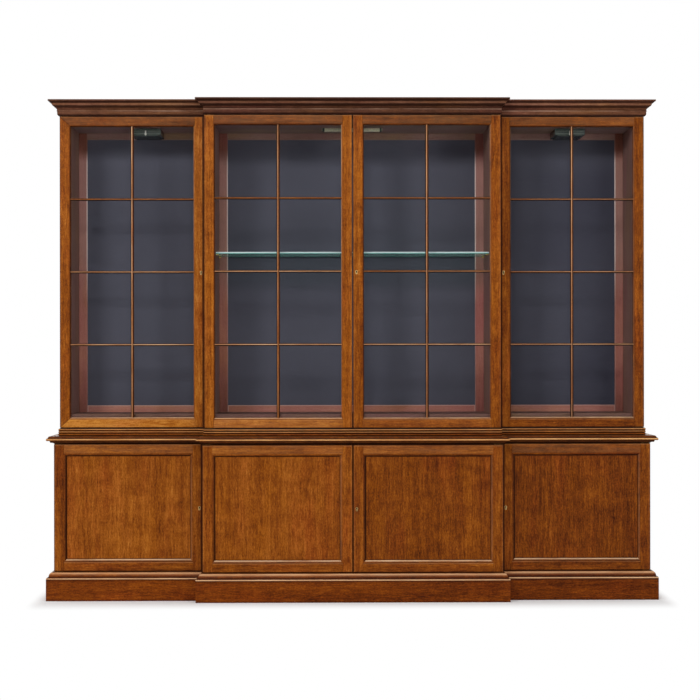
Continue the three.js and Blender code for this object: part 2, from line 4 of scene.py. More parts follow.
import bmesh
import bpy
import numpy as np
from mathutils import Euler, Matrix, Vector


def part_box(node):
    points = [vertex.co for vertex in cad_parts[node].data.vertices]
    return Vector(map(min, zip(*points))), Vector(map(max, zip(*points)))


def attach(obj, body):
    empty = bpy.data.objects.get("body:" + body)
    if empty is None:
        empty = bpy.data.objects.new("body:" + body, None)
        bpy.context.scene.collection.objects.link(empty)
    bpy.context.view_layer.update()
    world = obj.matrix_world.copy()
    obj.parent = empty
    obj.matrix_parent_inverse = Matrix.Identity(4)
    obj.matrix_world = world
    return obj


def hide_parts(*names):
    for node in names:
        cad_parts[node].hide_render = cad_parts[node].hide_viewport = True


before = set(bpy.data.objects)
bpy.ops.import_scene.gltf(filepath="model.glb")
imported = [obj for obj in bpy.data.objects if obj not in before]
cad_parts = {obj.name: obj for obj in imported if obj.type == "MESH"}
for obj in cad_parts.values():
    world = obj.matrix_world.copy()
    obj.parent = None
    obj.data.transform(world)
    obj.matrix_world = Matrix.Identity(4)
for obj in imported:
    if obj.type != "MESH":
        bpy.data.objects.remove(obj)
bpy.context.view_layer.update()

MM = 0.001
SEED = 7
dice = random.Random(SEED)
scene = bpy.context.scene

# Camera, fitted to the photograph
PHOTO_SIDE = 700
FOCAL_PIXELS = 1964.4
SENSOR = 36.0
CAMERA_PLACE = (-0.1239, -9.1055, 1.1417)
CAMERA_TURN, CAMERA_ROLL = -0.01248, -0.00111
camera_data = bpy.data.cameras.new("camera")
camera_data.sensor_width = SENSOR
camera_data.lens = FOCAL_PIXELS * SENSOR / PHOTO_SIDE
camera = bpy.data.objects.new("camera", camera_data)
camera.location = CAMERA_PLACE
camera.rotation_euler = Euler((math.pi / 2, 0, CAMERA_TURN))
camera.rotation_euler.rotate_axis("Z", CAMERA_ROLL)
scene.collection.objects.link(camera)
bpy.context.scene.camera = camera

# Sizes in millimetres, as in the CAD part
X, Y, Z = 0, 1, 2
BACK = 230.5
BASE = {"half": 1364.0, "centre": 683.0, "wing_front": -121.5, "centre_front": -197.5}
UPPER = {"half": 1340.0, "centre": 676.0, "wing_front": -94.5, "centre_front": -170.5}
PLINTH_FLAT, PLINTH_TOP, PLINTH_OUT, PLINTH_SKIN, PLINTH_IN = 98.0, 131.0, 33.0, 9.0, -24.0
INNER_PLINTH_TOP, INNER_PLINTH_IN, INNER_PLINTH_HALF, LEDGE_HALF = 110.5, -42.0, 1321.5, 1339.5
LEDGE_DEPTH = 23.5
BASE_CASE_TOP, BASE_TOP, SURBASE_OUT, SURBASE_IN = 715.0, 750.0, 32.0, -60.0
WAIST_BOTTOM, WAIST_TOP, REED_ROOT, REED_CREST, WAIST_IN = 750.3, 783.0, 2.5, 6.5, 0.4
CASE_BOTTOM, CASE_TOP = 785.0, 2214.2
CORNICE_BOTTOM, CORNICE_TOP, CORNICE_OUT, CORNICE_IN = 2214.5, 2286.0, 48.0, -20.0
CORNICE_SEAT, CORNICE_LAP, CORNICE_BOARD_HALF = CORNICE_BOTTOM + 20.3, 0.4, 1320.0
DISPLAY_FLOOR, CEILING = 849.7, 2168.0
PLINTH_TUCK, SURBASE_TUCK, WAIST_TUCK, CORNICE_TUCK, RETURN_LIP = 4.0, 5.0, 4.0, 10.5, 2.4
BACK_FRAME_FRONT, BACK_FRAME_REAR = 207.2, 221.2
BACK_FRAME_HALF, WING_WINDOW, CENTRE_WINDOW = 1289.7, (716.0, 1250.0), 586.0
BACK_RAIL_LOW, BACK_RAIL_HIGH = DISPLAY_FLOOR + 31, CEILING - 30
LINING_FRONT, LINING_THICK, BACK_BOARDS = 221.5, 1.4, 14
DIVIDER_REAR = 206.9
DOOR_DEPTH, QUIRK = 24.0, 0.9
GLAZED = {"stile": 50.0, "rail": 46.0, "width": 6.0, "depth": 7.0, "front": 11.8, "rear": 16.4}
PANELLED = {"stile": 57.0, "rail": 54.0, "width": 12.0, "depth": 10.0, "front": 10.8, "rear": 19.4}
PANEL_FRONT, PANEL_REAR, PANEL_REACH = 11.0, 19.0, 5.7
BAR_FRONT, BAR_FOOT, BAR_REAR, BAR_FILLET, UPRIGHT_BAR, CROSS_BAR = 2.0, 8.2, 11.7, 1.7, 15.0, 11.0
KEY_RADIUS, KEY_SLOT, KEY_LENGTH, KEY_INSET, ESCUTCHEON = 3.2, 3.0, 10.0, 16.0, 2.5
BOLT_FRONT, BOLT_REAR, BOLT_HALF, BOLT_PLAY, MORTISE_LENGTH = 12.8, 19.2, 10.2, 0.2, 29.0
PIN_INSET, PIN_DEPTH, PIN_BORE, PIN_REACH = 6.5, 11.0, 4.5, 12.5
LEAF_LENGTH, LEAF_HALF, LEAF_THICK, LEAF_OUT = 35.5, 5.5, 2.4, 1.0
ARRIS = 1.3


# Meshes
def clamp(value):
    return max(0.0, min(1.0, value))


def fill(s, most, start, reach):
    """The most up to the start, falling to nothing over the reach."""
    return most * clamp(1 - (s - start) / reach)


def peak(s, most, middle, reach):
    """The most at the middle, falling to nothing over the reach on both sides of it."""
    return most * clamp(1 - abs(s - middle) / reach)


def link(name, data):
    thing = bpy.data.objects.new(name, data)
    scene.collection.objects.link(thing)
    return thing


def outward_mesh(name, points, faces):
    """A mesh whose faces all look outward."""
    data = bpy.data.meshes.new(name)
    data.from_pydata([tuple(p) for p in points], [], faces)
    work = bmesh.new()
    work.from_mesh(data)
    bmesh.ops.recalc_face_normals(work, faces=work.faces)
    work.to_mesh(data)
    work.free()
    return data


def node_box(name):
    """The lowest and highest corner of a CAD node, in millimetres."""
    return [[c / MM for c in corner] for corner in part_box(name)]


class Shape:
    """Closed islands gathered into one piece, with the wood's own coordinates at each point."""

    SHARP = math.radians(32)

    def __init__(self):
        self.points, self.faces, self.slots = [], [], []
        self.grain, self.look = [], []

    def add(self, points, faces, grain=None, look=None, slot=0):
        start = len(self.points)
        self.points += [tuple(p) for p in points]
        self.faces += [[start + i for i in face] for face in faces]
        self.slots += [slot] * len(faces)
        self.grain += grain or [[c * MM for c in p] for p in points]
        self.look += look or [(0, 0, 0)] * len(points)

    def finish(self, name, body, slot, materials, *replaces):
        data = outward_mesh(name, [[c * MM for c in p] for p in self.points], self.faces)
        for key, values in (("grain", self.grain), ("look", self.look)):
            layer = data.attributes.new(key, "FLOAT_VECTOR", "POINT")
            layer.data.foreach_set("vector", np.array(values, np.float32).ravel())
        data.polygons.foreach_set("material_index", self.slots)
        data.polygons.foreach_set("use_smooth", [True] * len(data.polygons))
        data.set_sharp_from_angle(angle=self.SHARP)
        for material in materials:
            data.materials.append(material)
        piece = link(name, data)
        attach(piece, body)
        if replaces:
            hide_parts(*replaces)


ROUND_SHARE, ROUND_STEP, DEEP_BAND = 0.3, 0.586, 3.0


def round_box(low, high, radius, bands, cuts=(), along=Z):
    """A box with rounded edges. bands are the distances behind the rounding where its looks change,
    and cuts the places along it where they change too."""
    axes = []
    for k, (a, b) in enumerate(zip(low, high)):
        r = min(radius, (b - a) * ROUND_SHARE)
        steps = [0, ROUND_STEP * r, r]
        steps += [r + d for d in ((DEEP_BAND,) if k == Y else bands) if b - a > 2 * (r + d) + 1]
        between = list(cuts) if k == along else []
        axes.append([a + s for s in steps] + between + [b - s for s in reversed(steps)])
    counts = [len(values) for values in axes]
    r = min(radius, min(b - a for a, b in zip(low, high)) * ROUND_SHARE)
    inner_low, inner_high = np.array(low) + r, np.array(high) - r
    index, points, faces = {}, [], []

    def point(cell):
        if cell not in index:
            index[cell] = len(points)
            p = np.array([axes[k][cell[k]] for k in range(3)], float)
            inner = np.clip(p, inner_low, inner_high)
            away = p - inner
            length = np.linalg.norm(away)
            points.append(inner + away / length * r if length > 1e-9 else p)
        return index[cell]

    for k in range(3):
        u, v = (k + 1) % 3, (k + 2) % 3
        for end in (0, counts[k] - 1):
            for i in range(counts[u] - 1):
                for j in range(counts[v] - 1):
                    face = []
                    for di, dj in ((0, 0), (1, 0), (1, 1), (0, 1)):
                        cell = [0, 0, 0]
                        cell[k], cell[u], cell[v] = end, i + di, j + dj
                        face.append(point(tuple(cell)))
                    faces.append(face)
    return points, faces


def carve(points, faces, cutters):
    """Takes each closed cutter out of a closed form."""
    forms = ((points, faces), *cutters)
    piece, *tools = [link("temporary", outward_mesh("temporary", *form)) for form in forms]
    for tool in tools:
        cut = piece.modifiers.new("cut", "BOOLEAN")
        cut.operation, cut.solver, cut.object = "DIFFERENCE", "EXACT", tool
    bpy.context.view_layer.update()
    shown = piece.evaluated_get(bpy.context.evaluated_depsgraph_get())
    result = bpy.data.meshes.new_from_object(shown)
    points = [np.array(v.co) for v in result.vertices]
    faces = [list(f.vertices) for f in result.polygons]
    for data in [piece.data, *(tool.data for tool in tools), result]:
        bpy.data.meshes.remove(data)
    return points, faces


def plain_box(low, high):
    corners = [(x, y, z) for x in (low[0], high[0]) for y in (low[1], high[1]) for z in (low[2], high[2])]
    faces = [[0, 1, 3, 2], [4, 6, 7, 5], [0, 4, 5, 1], [2, 3, 7, 6], [0, 2, 6, 4], [1, 5, 7, 3]]
    return corners, faces


def band(count, one, two):
    """The faces between two closed loops of as many points, which start at these places."""
    return [[one + i, one + (i + 1) % count, two + (i + 1) % count, two + i] for i in range(count)]


def circle(radius, sides):
    turns = [2 * math.pi * i / sides for i in range(sides)]
    return [(radius * math.cos(turn), radius * math.sin(turn)) for turn in turns]


def column(outline, place):
    """A flat outline carried from one end to the other. place turns (across, up, end) into a point."""
    count = len(outline)
    points = [place(a, b, end) for end in (0, 1) for a, b in outline]
    return points, [list(range(count)), list(range(count, 2 * count))] + band(count, 0, count)


def pin_cutter(x, y, z0, z1, radius, sides=20):
    return column(circle(radius, sides), lambda a, b, end: (x + a, y + b, (z0, z1)[end]))


GRAIN_SPAN, BOARD_SPREAD = 40, 0.05
SUNK_SHARE, WEAR_AND_HIGHLIGHT_REACH = 0.35, 3.2


def grain_start():
    return [dice.uniform(0, GRAIN_SPAN) for _ in range(3)]


def board(shape, low, high, along, tone=0.0, arris=ARRIS, cutters=(), mitre=None, slot=0,
          spread=BOARD_SPREAD, look_of=None, bands=(3.2,), wear_and_highlight_share=1.0, cuts=()):
    """A board with rounded arrises. along is the axis of its grain.
    mitre gives how far each of its two ends moves along, at the board's low and at its high side.
    look_of gives a point's own tone, wear and dirt, with painted highlights and painted shade among them;
    without it the arrises get wear and a painted highlight, and the walls of holes cut into it get painted
    shade."""
    points, faces = round_box(low, high, arris, bands, cuts, along)
    if cutters:
        points, faces = carve(points, faces, cutters)
    across = max((k for k in range(3) if k != along), key=lambda k: high[k] - low[k])
    third = X + Y + Z - along - across
    own = tone + (dice.uniform(-spread, spread) if spread else 0.0)
    start = grain_start()

    def arris_light_and_hole_shade(p):
        gaps = sorted(min(p[k] - low[k], high[k] - p[k]) for k in range(3))
        # Points in the walls of a cut hole get painted shade; arrises get wear and a painted highlight.
        if gaps[0] > arris * SUNK_SHARE:
            return 0.0, 0.0, 1.0
        return 0.0, fill(gaps[1], wear_and_highlight_share, 0, arris + WEAR_AND_HIGHLIGHT_REACH), 0.0

    look = [(own + extra, wear_and_highlight, dirt_and_shade) for extra, wear_and_highlight, dirt_and_shade in map(look_of or arris_light_and_hole_shade, points)]
    order = (along, across, third)
    grain = [[p[k] * MM + first for k, first in zip(order, start)] for p in points]
    if mitre:
        middle = (low[along] + high[along]) / 2
        for p in points:
            share = (p[across] - low[across]) / (high[across] - low[across])
            one, two = mitre[int(p[along] >= middle)]
            p[along] += one + (two - one) * share
    shape.add(points, faces, grain, look, slot)


LEAST_TURN = math.radians(28)
CORNER_SHARE, CORNER_STEPS = 0.42, 4
ROOM = 2.4


def soften(profile, radius):
    """Rounds the sharp corners of a closed profile."""
    out = []
    count = len(profile)
    for i, (px, py) in enumerate(profile):
        ax, ay = profile[i - 1]
        bx, by = profile[(i + 1) % count]
        one, two = math.hypot(ax - px, ay - py), math.hypot(bx - px, by - py)
        u, v = ((ax - px) / one, (ay - py) / one), ((bx - px) / two, (by - py) / two)
        turn = math.pi - math.acos(max(-1, min(1, u[0] * v[0] + u[1] * v[1])))
        if turn < LEAST_TURN:
            out.append((px, py))
            continue
        t = min(radius * math.tan(turn / 2), CORNER_SHARE * one, CORNER_SHARE * two)
        start, end = (px + u[0] * t, py + u[1] * t), (px + v[0] * t, py + v[1] * t)
        for k in range(CORNER_STEPS + 1):
            s = k / CORNER_STEPS
            a, b, c = (1 - s) ** 2, 2 * s * (1 - s), s * s
            out.append((a * start[0] + b * px + c * end[0], a * start[1] + b * py + c * end[1]))
    return out


def tracked(profile, reaches=(2.6,)):
    """Adds points beside the corners of long flats, so that wear and dirt stay near the corners."""
    out = []
    count = len(profile)
    for i, (ax, ay) in enumerate(profile):
        bx, by = profile[(i + 1) % count]
        length = math.hypot(bx - ax, by - ay)
        shares = [reach / length for reach in reaches if length > ROOM * reach]
        out.append((ax, ay))
        for s in shares + [1 - s for s in reversed(shares)]:
            out.append((ax + (bx - ax) * s, ay + (by - ay) * s))
    return out


RUN_SPREAD = 0.04
COVERED = (0, 0, 0.4)


def mitred(shape, ring, profile, runs, patina_and_painted_light, tone=0.0, slot=0, tones=None, covered=None, ends=None):
    """Runs of moulding with mitred ends. ring gives the corners of the path at a point of the profile.
    The rows list (height, tone, wear, dirt) from the bottom of the profile to its top; their wear also holds
    painted highlights and their dirt painted shade. What lies behind covered isn't seen. ends scales the wear
    and painted highlights at each corner of the path."""
    rings = [ring(a, b) for a, b in profile]
    travelled = [0.0]
    for (ax, ay), (bx, by) in zip(profile, profile[1:]):
        travelled.append(travelled[-1] + math.hypot(bx - ax, by - ay))
    levels, *columns = zip(*patina_and_painted_light)
    looks = [[float(np.interp(b, levels, values)) for values in columns] for _, b in profile]
    if covered is not None:
        looks = [COVERED if a < covered else v for (a, _), v in zip(profile, looks)]
    count, corners = len(profile), len(rings[0])
    for run in runs:
        one, two = run, (run + 1) % corners
        points = [np.array(r[corner], float) for corner in (one, two) for r in rings]
        faces = [list(range(count)), [count + i for i in reversed(range(count))]]
        faces += band(count, 0, count)
        along = int(np.argmax(np.abs(points[count] - points[0])))
        start = grain_start()
        own = tone + dice.uniform(-RUN_SPREAD, RUN_SPREAD) + (tones[run] if tones else 0.0)
        grain, look = [], []
        for i, p in enumerate(points):
            k = i % count
            grain.append((p[along] * MM + start[0], travelled[k] * MM + start[1], start[2]))
            scale = ends[one if i < count else two] if ends else 1.0
            look.append((own + looks[k][0], looks[k][1] * scale, looks[k][2]))
        shape.add(points, faces, grain, look, slot)


def turned(shape, axis, centre, stations, sides=24):
    """A closed turned form: stations are (distance along the axis, radius)."""
    points, faces = [], []
    for along, radius in stations:
        for a, b in circle(radius, sides):
            p = list(centre)
            p[axis] += along
            p[(axis + 1) % 3] += a
            p[(axis + 2) % 3] += b
            points.append(p)
    last = (len(stations) - 1) * sides
    for start in range(0, last, sides):
        faces += band(sides, start, start + sides)
    shape.add(points, faces + [list(range(sides)), [last + i for i in range(sides)]])


def plate(shape, outline, hole, place, slot):
    """A flat outline with a hole of as many points, carried from one end to the other."""
    count = len(outline)
    points, faces = [], []
    for k, loop in enumerate((outline, hole)):
        points += [place(a, b, end) for end in (0, 1) for a, b in loop]
        faces += band(count, 2 * count * k, 2 * count * k + count)
    for level in (0, count):
        faces += band(count, level, 2 * count + level)
    shape.add(points, faces, slot=slot)


# Materials
def linear(*colour):
    """An sRGB colour in 0-255 as a linear one."""
    channels = (c / 255 / 12.92 if c <= 10.3 else ((c / 255 + 0.055) / 1.055) ** 2.4 for c in colour)
    return (*channels, 1.0)


class Nodes:
    """Short names for making the nodes of a material or of the world."""

    def __init__(self, owner):
        owner.use_nodes = True
        self.owner, self.tree = owner, owner.node_tree
        self.tree.nodes.clear()

    def new(self, kind, **inputs):
        node = self.tree.nodes.new("ShaderNode" + kind)
        for key, value in inputs.items():
            self.set(node.inputs[key.replace("_", " ")], value)
        return node

    def out(self, kind, **inputs):
        return self.new(kind, **inputs).outputs[0]

    def set(self, socket, value):
        if isinstance(value, bpy.types.NodeSocket):
            self.tree.links.new(value, socket)
        else:
            socket.default_value = value

    def combine(self, kind, operation, values):
        node = self.new(kind)
        node.operation = operation
        for socket, value in zip(node.inputs, values):
            self.set(socket, value)
        return node

    def math(self, operation, a, b=0.0, clamp=False):
        node = self.combine("Math", operation, (a, b))
        node.use_clamp = clamp
        return node.outputs[0]

    def plus(self, a, b, clamp=False):
        return self.math("ADD", a, b, clamp)

    def minus(self, a, b, clamp=False):
        return self.math("SUBTRACT", a, b, clamp)

    def times(self, a, b, clamp=False):
        return self.math("MULTIPLY", a, b, clamp)

    def most(self, a, b):
        return self.math("MAXIMUM", a, b)

    def past(self, value, start, slope):
        """How far a value is past its start, times the slope, held between 0 and 1."""
        return self.times(self.minus(value, start, True), slope, True)

    def weighted(self, start, *terms):
        """start plus each value's distance from its middle, times its weight."""
        total = start
        for value, weight in terms:
            total = self.plus(total, self.times(self.minus(value, 0.5), weight))
        return total

    def vector(self, operation, a, b):
        return self.combine("VectorMath", operation, (a, b)).outputs[0]

    def noise(self, coordinates, stretch, detail, roughness=0.5):
        return self.new("TexNoise", Vector=self.vector("MULTIPLY", coordinates, stretch), Scale=1.0,
                        Detail=detail, Roughness=roughness).outputs["Fac"]

    def attribute(self, name):
        node = self.new("Attribute")
        node.attribute_name = name
        return node.outputs["Vector"]

    def ramp(self, value, stops):
        node = self.new("ValToRGB", Fac=value)
        elements = node.color_ramp.elements
        while len(elements) < len(stops):
            elements.new(0.5)
        for element, (position, colour) in zip(elements, stops):
            element.position = position
            element.color = colour if len(colour) == 4 else linear(*colour)
        return node.outputs["Color"]

    def mix(self, share, a, b, kind="MIX"):
        node = self.new("Mix")
        node.data_type, node.blend_type = "RGBA", kind
        self.set(node.inputs["Factor"], share)
        for socket, value in zip([s for s in node.inputs if s.type == "RGBA"], (a, b)):
            self.set(socket, value)
        return [s for s in node.outputs if s.type == "RGBA"][0]

    def blend(self, share, one, two):
        node = self.new("MixShader")
        for socket, value in zip(node.inputs, (share, one, two)):
            self.set(socket, value)
        return node.outputs[0]

    def split(self, vector):
        return self.new("SeparateXYZ", Vector=vector).outputs[:]

    def place(self):
        return self.new("TexCoord").outputs["Object"]

    def bump(self, height, strength, distance):
        return self.out("Bump", Strength=strength, Distance=distance, Height=height)

    def shader(self, colour, rough, **inputs):
        return self.out("BsdfPrincipled", Base_Color=colour, Roughness=rough, **inputs)

    def finish(self, shader, output="OutputMaterial"):
        self.new(output, Surface=shader)
        return self.owner


def material(name):
    return Nodes(bpy.data.materials.new(name))


# Below and above these levels in metres, front edges show only in the gaps around the doors, and there they
# get painted shade.
LOW_GAP, HIGH_GAP = 0.8, 2.19
LEVEL_SLOPE, FACING, FACING_SLOPE = 100.0, 0.8, 5.0
WAVE, DRIFT = (1.9, 6.0, 6.0), (0.0, 0.03, 0.03)
# Each figure in wood: how often it repeats in a metre along the grain and across it, detail, roughness.
FIGURES = {"wide": (1.3, 15.0, 2.0, 0.5), "ribbon": (6.0, 95.0, 3.0, 0.6), "spot": (26.0, 190.0, 2.0, 0.6),
           "speck": (120.0, 270.0, 1.0, 0.5), "mottle": (17.0, 7.0, 3.0, 0.6), "hue": (2.6, 9.0, 3.0, 0.6),
           "pore": (48.0, 800.0, 1.0, 0.5), "wear_and_highlight_patches": (7.0, 60.0, 3.0, 0.6)}
SPOT_SHARE, SPECK_SHARE, PORE_START, PORE_SLOPE, PORE_SHARE, WARMTH_SHARE = 0.6, 0.55, 0.6, 5.0, 0.45, 0.75
WARMTH = [(0.3, (1.05, 1.06, 0.7, 1.0)), (0.5, (1.0, 1.0, 1.0, 1.0)), (0.7, (1.02, 0.84, 1.0, 1.0))]
CARCASS_STOPS = [(0.1, (92, 60, 34)), (0.4, (132, 92, 56)), (0.7, (162, 120, 78)), (0.95, (184, 144, 102))]
MATT = 0.05


def wood(name, stops, deep, bright, axis=None, level=0.5, broad=0.3, ribbon=0.35, fleck=0.9, mottle=0.25,
         wear_and_highlight_share=0.7, dirt_and_shade_share=0.9, rough=0.36, bump=0.2, side=0.0, patchy=1.8, patch_level=0.65):
    """Polished wood. Its grain follows the piece's own coordinates, or one axis of the part."""
    n = material(name)
    x, y, z = n.split(n.place())
    if axis is None:
        at = n.attribute("grain")
        tone, wear_and_highlight, dirt_and_shade = n.split(n.attribute("look"))
    else:
        order = (x, y, z) if axis == X else (z, x, y)
        at = n.out("CombineXYZ", X=order[0], Y=order[1], Z=order[2])
        _, facing, upward = n.split(n.new("TexCoord").outputs["Normal"])
        tone, wear_and_highlight = 0.0, 0.0
        # Front faces at those levels show only in the gaps: painted shade.
        high = n.past(z, HIGH_GAP, LEVEL_SLOPE)
        in_shaded_gap = n.most(n.past(LOW_GAP, z, LEVEL_SLOPE), high)
        dirt_and_shade = n.times(n.past(n.times(facing, -1.0), FACING, FACING_SLOPE), in_shaded_gap)
    wave = n.new("TexNoise", Vector=n.vector("MULTIPLY", at, WAVE), Scale=1.0, Detail=2.0)
    sway = n.vector("SUBTRACT", wave.outputs["Color"], (0.5,) * 3)
    bent = n.vector("ADD", at, n.vector("MULTIPLY", sway, DRIFT))

    def figure(kind, coordinates=bent):
        along, across, detail, roughness = FIGURES[kind]
        return n.noise(coordinates, (along, across, across), detail, roughness)

    stripe, spot, hue = figure("ribbon"), figure("spot"), figure("hue", at)
    value = n.weighted(n.plus(tone, level), (figure("wide"), broad), (stripe, ribbon),
                       (spot, SPOT_SHARE * fleck), (figure("speck"), SPECK_SHARE * fleck),
                       (figure("mottle"), mottle))
    # Darker towards the right: painted light falling off away from the lamps.
    if side:
        value = n.plus(value, n.times(x, -side))
    colour = n.mix(WARMTH_SHARE, n.ramp(value, stops), n.ramp(hue, WARMTH), "MULTIPLY")
    pore = n.past(figure("pore"), PORE_START, PORE_SLOPE)
    colour = n.mix(n.times(pore, PORE_SHARE), colour, linear(*deep))
    # Toward the bright colour: wear, and painted highlights on arrises and crests that face the light, in
    # patches along the grain.
    wear_and_highlight_patches = n.plus(n.times(n.minus(figure("wear_and_highlight_patches", at), 0.5), patchy), patch_level, True)
    colour = n.mix(n.times(n.times(wear_and_highlight, wear_and_highlight_share), wear_and_highlight_patches, True), colour, linear(*bright))
    if axis is not None:
        rear, over = (n.past(share, FACING, FACING_SLOPE) for share in (facing, upward))
        colour = n.mix(n.most(rear, n.times(over, high)), colour, n.ramp(value, CARCASS_STOPS))
    # Toward the deep colour: dirt and dark joints, and painted shade in hollows, under lips, beside recesses
    # and in the gaps.
    colour = n.mix(n.times(dirt_and_shade, dirt_and_shade_share, True), colour, linear(*deep))
    height = n.weighted(0.5, (spot, 0.5), (stripe, 0.5), (pore, -0.6))
    return n.finish(n.shader(colour, n.weighted(rough, (hue, 0.16), (stripe, 0.08)), Specular_IOR_Level=MATT,
                             Normal=n.bump(height, bump, 0.0004)))


def metal(name, colour, tarnish, rough):
    n = material(name)
    cloud = n.noise(n.place(), (90.0, 90.0, 90.0), 4.0, 0.6)
    scratch = n.noise(n.place(), (60.0, 900.0, 900.0), 2.0)
    shade = n.mix(n.past(cloud, 0.35, 2.0), linear(*colour), linear(*tarnish))
    return n.finish(n.shader(shade, n.weighted(rough, (cloud, 0.25), (scratch, 0.2)), Metallic=1.0,
                             Normal=n.bump(scratch, 0.15, 0.0002)))


# Paler and bluer than the cloth's own colour: painted light that lifts the shade inside the case, with a
# painted reflection of the glass over it.
CLOTH_STOPS = [(0.0, (70, 69, 82)), (0.3, (81, 80, 92)), (0.5, (87, 86, 98)), (0.8, (94, 93, 106)),
               (1.0, (106, 105, 119))]
DARKER_FROM, DARKER_SLOPE, LIT_TOP_FROM, LIT_TOP_SLOPE = 0.55, 0.7, 1.96, 2.4


def cloth(name):
    """Slate cloth, darker to the right and paler above, where painted light works against the shade under the
    ceiling; the places are given in metres.
    """
    n = material(name)
    x, _, z = n.split(n.place())
    slub = n.noise(n.place(), (30.0, 30.0, 240.0), 3.0, 0.6)
    yarn = n.noise(n.place(), (700.0, 700.0, 700.0), 1.0)
    cloud = n.noise(n.place(), (1.8, 1.8, 1.8), 3.0)
    value = n.weighted(0.52, (cloud, 0.8), (slub, 0.2), (yarn, 0.05))
    value = n.minus(value, n.past(x, DARKER_FROM, DARKER_SLOPE))
    # Paler towards the top: painted light against the shade under the ceiling.
    colour = n.ramp(n.plus(value, n.past(z, LIT_TOP_FROM, LIT_TOP_SLOPE)), CLOTH_STOPS)
    return n.finish(n.shader(colour, 0.9, Specular_IOR_Level=MATT, Normal=n.bump(yarn, 0.02, 0.0002)))


STRAIGHT_ON, BODY_SHINE, FLAT_FROM, FLAT_SLOPE = 0.018, 0.2, 0.5, 2.5


def glass(name, tint, ior, body=None):
    """A clear sheet: what is behind shows through it, with a reflection over it.
    The share that it reflects straight on is left out, since the room isn't part of the object.
    body is the colour that its thickness shows at a flat angle."""
    n = material(name)
    normal = n.bump(n.noise(n.place(), (5.0, 5.0, 3.0), 2.0, 0.4), 0.1, 0.003)
    through = n.out("BsdfTransparent", Color=tint)
    if body:
        flat = n.past(n.new("LayerWeight", Blend=0.3).outputs["Facing"], FLAT_FROM, FLAT_SLOPE)
        through = n.blend(flat, through, n.shader(linear(*body), 0.1))
    shine = n.out("BsdfGlossy", Roughness=0.02, Normal=normal)
    fresnel = n.out("Fresnel", IOR=ior, Normal=normal)
    return n.finish(n.blend(n.past(fresnel, STRAIGHT_ON, BODY_SHINE if body else 1.0), through, shine))


def plain(name, colour, rough, specular=0.5):
    n = material(name)
    cloud = n.noise(n.place(), (160.0, 160.0, 160.0), 3.0, 0.6)
    low, high = ([min(255, c * share) for c in colour] for share in (0.94, 1.06))
    return n.finish(n.shader(n.ramp(cloud, [(0.35, low), (0.65, high)]), n.weighted(rough, (cloud, 0.15)),
                             Specular_IOR_Level=specular))


# Green low on the edge, and a pale painted highlight along its top.
EDGE_STOPS = [(0.0, (88, 160, 150)), (0.3, (142, 192, 186)), (0.5, (198, 218, 218)), (1.0, (226, 234, 236))]


def cut_edge(name, low, high):
    """The polished edge of a glass sheet, green below with a pale painted highlight along its top, between
    two levels.
    """
    n = material(name)
    wave = n.noise(n.place(), (9.0, 9.0, 300.0), 2.0)
    level = n.math("DIVIDE", n.minus(n.split(n.place())[Z], low), high - low)
    return n.finish(n.shader(n.ramp(n.weighted(level, (wave, 0.35)), EDGE_STOPS), 0.1))


DOOR_STOPS = [(0.08, (62, 25, 5)), (0.32, (104, 49, 10)), (0.5, (132, 69, 15)), (0.7, (160, 92, 28)),
              (0.92, (190, 124, 54))]
PLINTH_STOPS = [(place, (r, 0.94 * g, 0.8 * b)) for place, (r, g, b) in DOOR_STOPS]
CORNICE_STOPS = [(0.08, (44, 22, 12)), (0.32, (72, 41, 27)), (0.5, (97, 59, 41)), (0.7, (122, 80, 58)),
                 (0.92, (150, 106, 80))]
# The inner, shade and ceiling colours are paler and bluer than the wood's own: painted light that lifts the
# shade inside the case, with a painted reflection of the glass over it.
INNER_STOPS = [(0.1, (120, 71, 60)), (0.4, (159, 100, 89)), (0.6, (179, 119, 106)), (0.9, (204, 151, 139))]
SHADE_STOPS = [(0.1, (121, 88, 80)), (0.4, (155, 118, 108)), (0.6, (172, 138, 127)), (0.9, (197, 170, 160))]
FLAT_STOPS = [(0.1, (93, 64, 57)), (0.4, (121, 89, 81)), (0.6, (135, 105, 97)), (0.9, (154, 132, 126))]
CEILING_STOPS = [(0.1, (126, 98, 92)), (0.4, (158, 130, 124)), (0.6, (174, 148, 142)), (0.9, (196, 174, 168))]
DEEP, INNER_DEEP, FLAT_DEEP, CARCASS_DEEP = (44, 15, 4), (70, 32, 22), (24, 9, 5), (56, 36, 20)
FLAT_BRIGHT, CARCASS_BRIGHT = (206, 160, 146), (178, 140, 100)
INNER = {"fleck": 0.3, "ribbon": 0.25, "mottle": 0.15, "rough": 0.45, "bump": 0.05}
CARCASS = {"rough": 0.6, "fleck": 0.5}

# side=0.03 on the front woods paints light falling off to the right.
doorwood = wood("mahogany", DOOR_STOPS, DEEP, (198, 142, 92), side=0.03, broad=0.48, mottle=0.42, ribbon=0.62)
trimwood = wood("mahogany_moulding", DOOR_STOPS, (26, 9, 3), (226, 190, 150), side=0.03, wear_and_highlight_share=0.95, dirt_and_shade_share=0.95,
                patch_level=0.75)
panelwood = wood("mahogany_panel", DOOR_STOPS, DEEP, (190, 138, 84), side=0.03, level=0.48, ribbon=0.5,
                 broad=0.4, mottle=0.35)
ledgewood = wood("mahogany_ledge", DOOR_STOPS, (26, 9, 2), (226, 176, 116), side=0.03, level=0.4, mottle=0.4,
                 wear_and_highlight_share=1.0, dirt_and_shade_share=0.95, patchy=1.6, patch_level=0.75)
plinthwood = wood("mahogany_plinth", PLINTH_STOPS, DEEP, (226, 184, 140), side=0.03, level=0.4, mottle=0.3,
                  wear_and_highlight_share=0.95, patchy=1.2, patch_level=0.8)
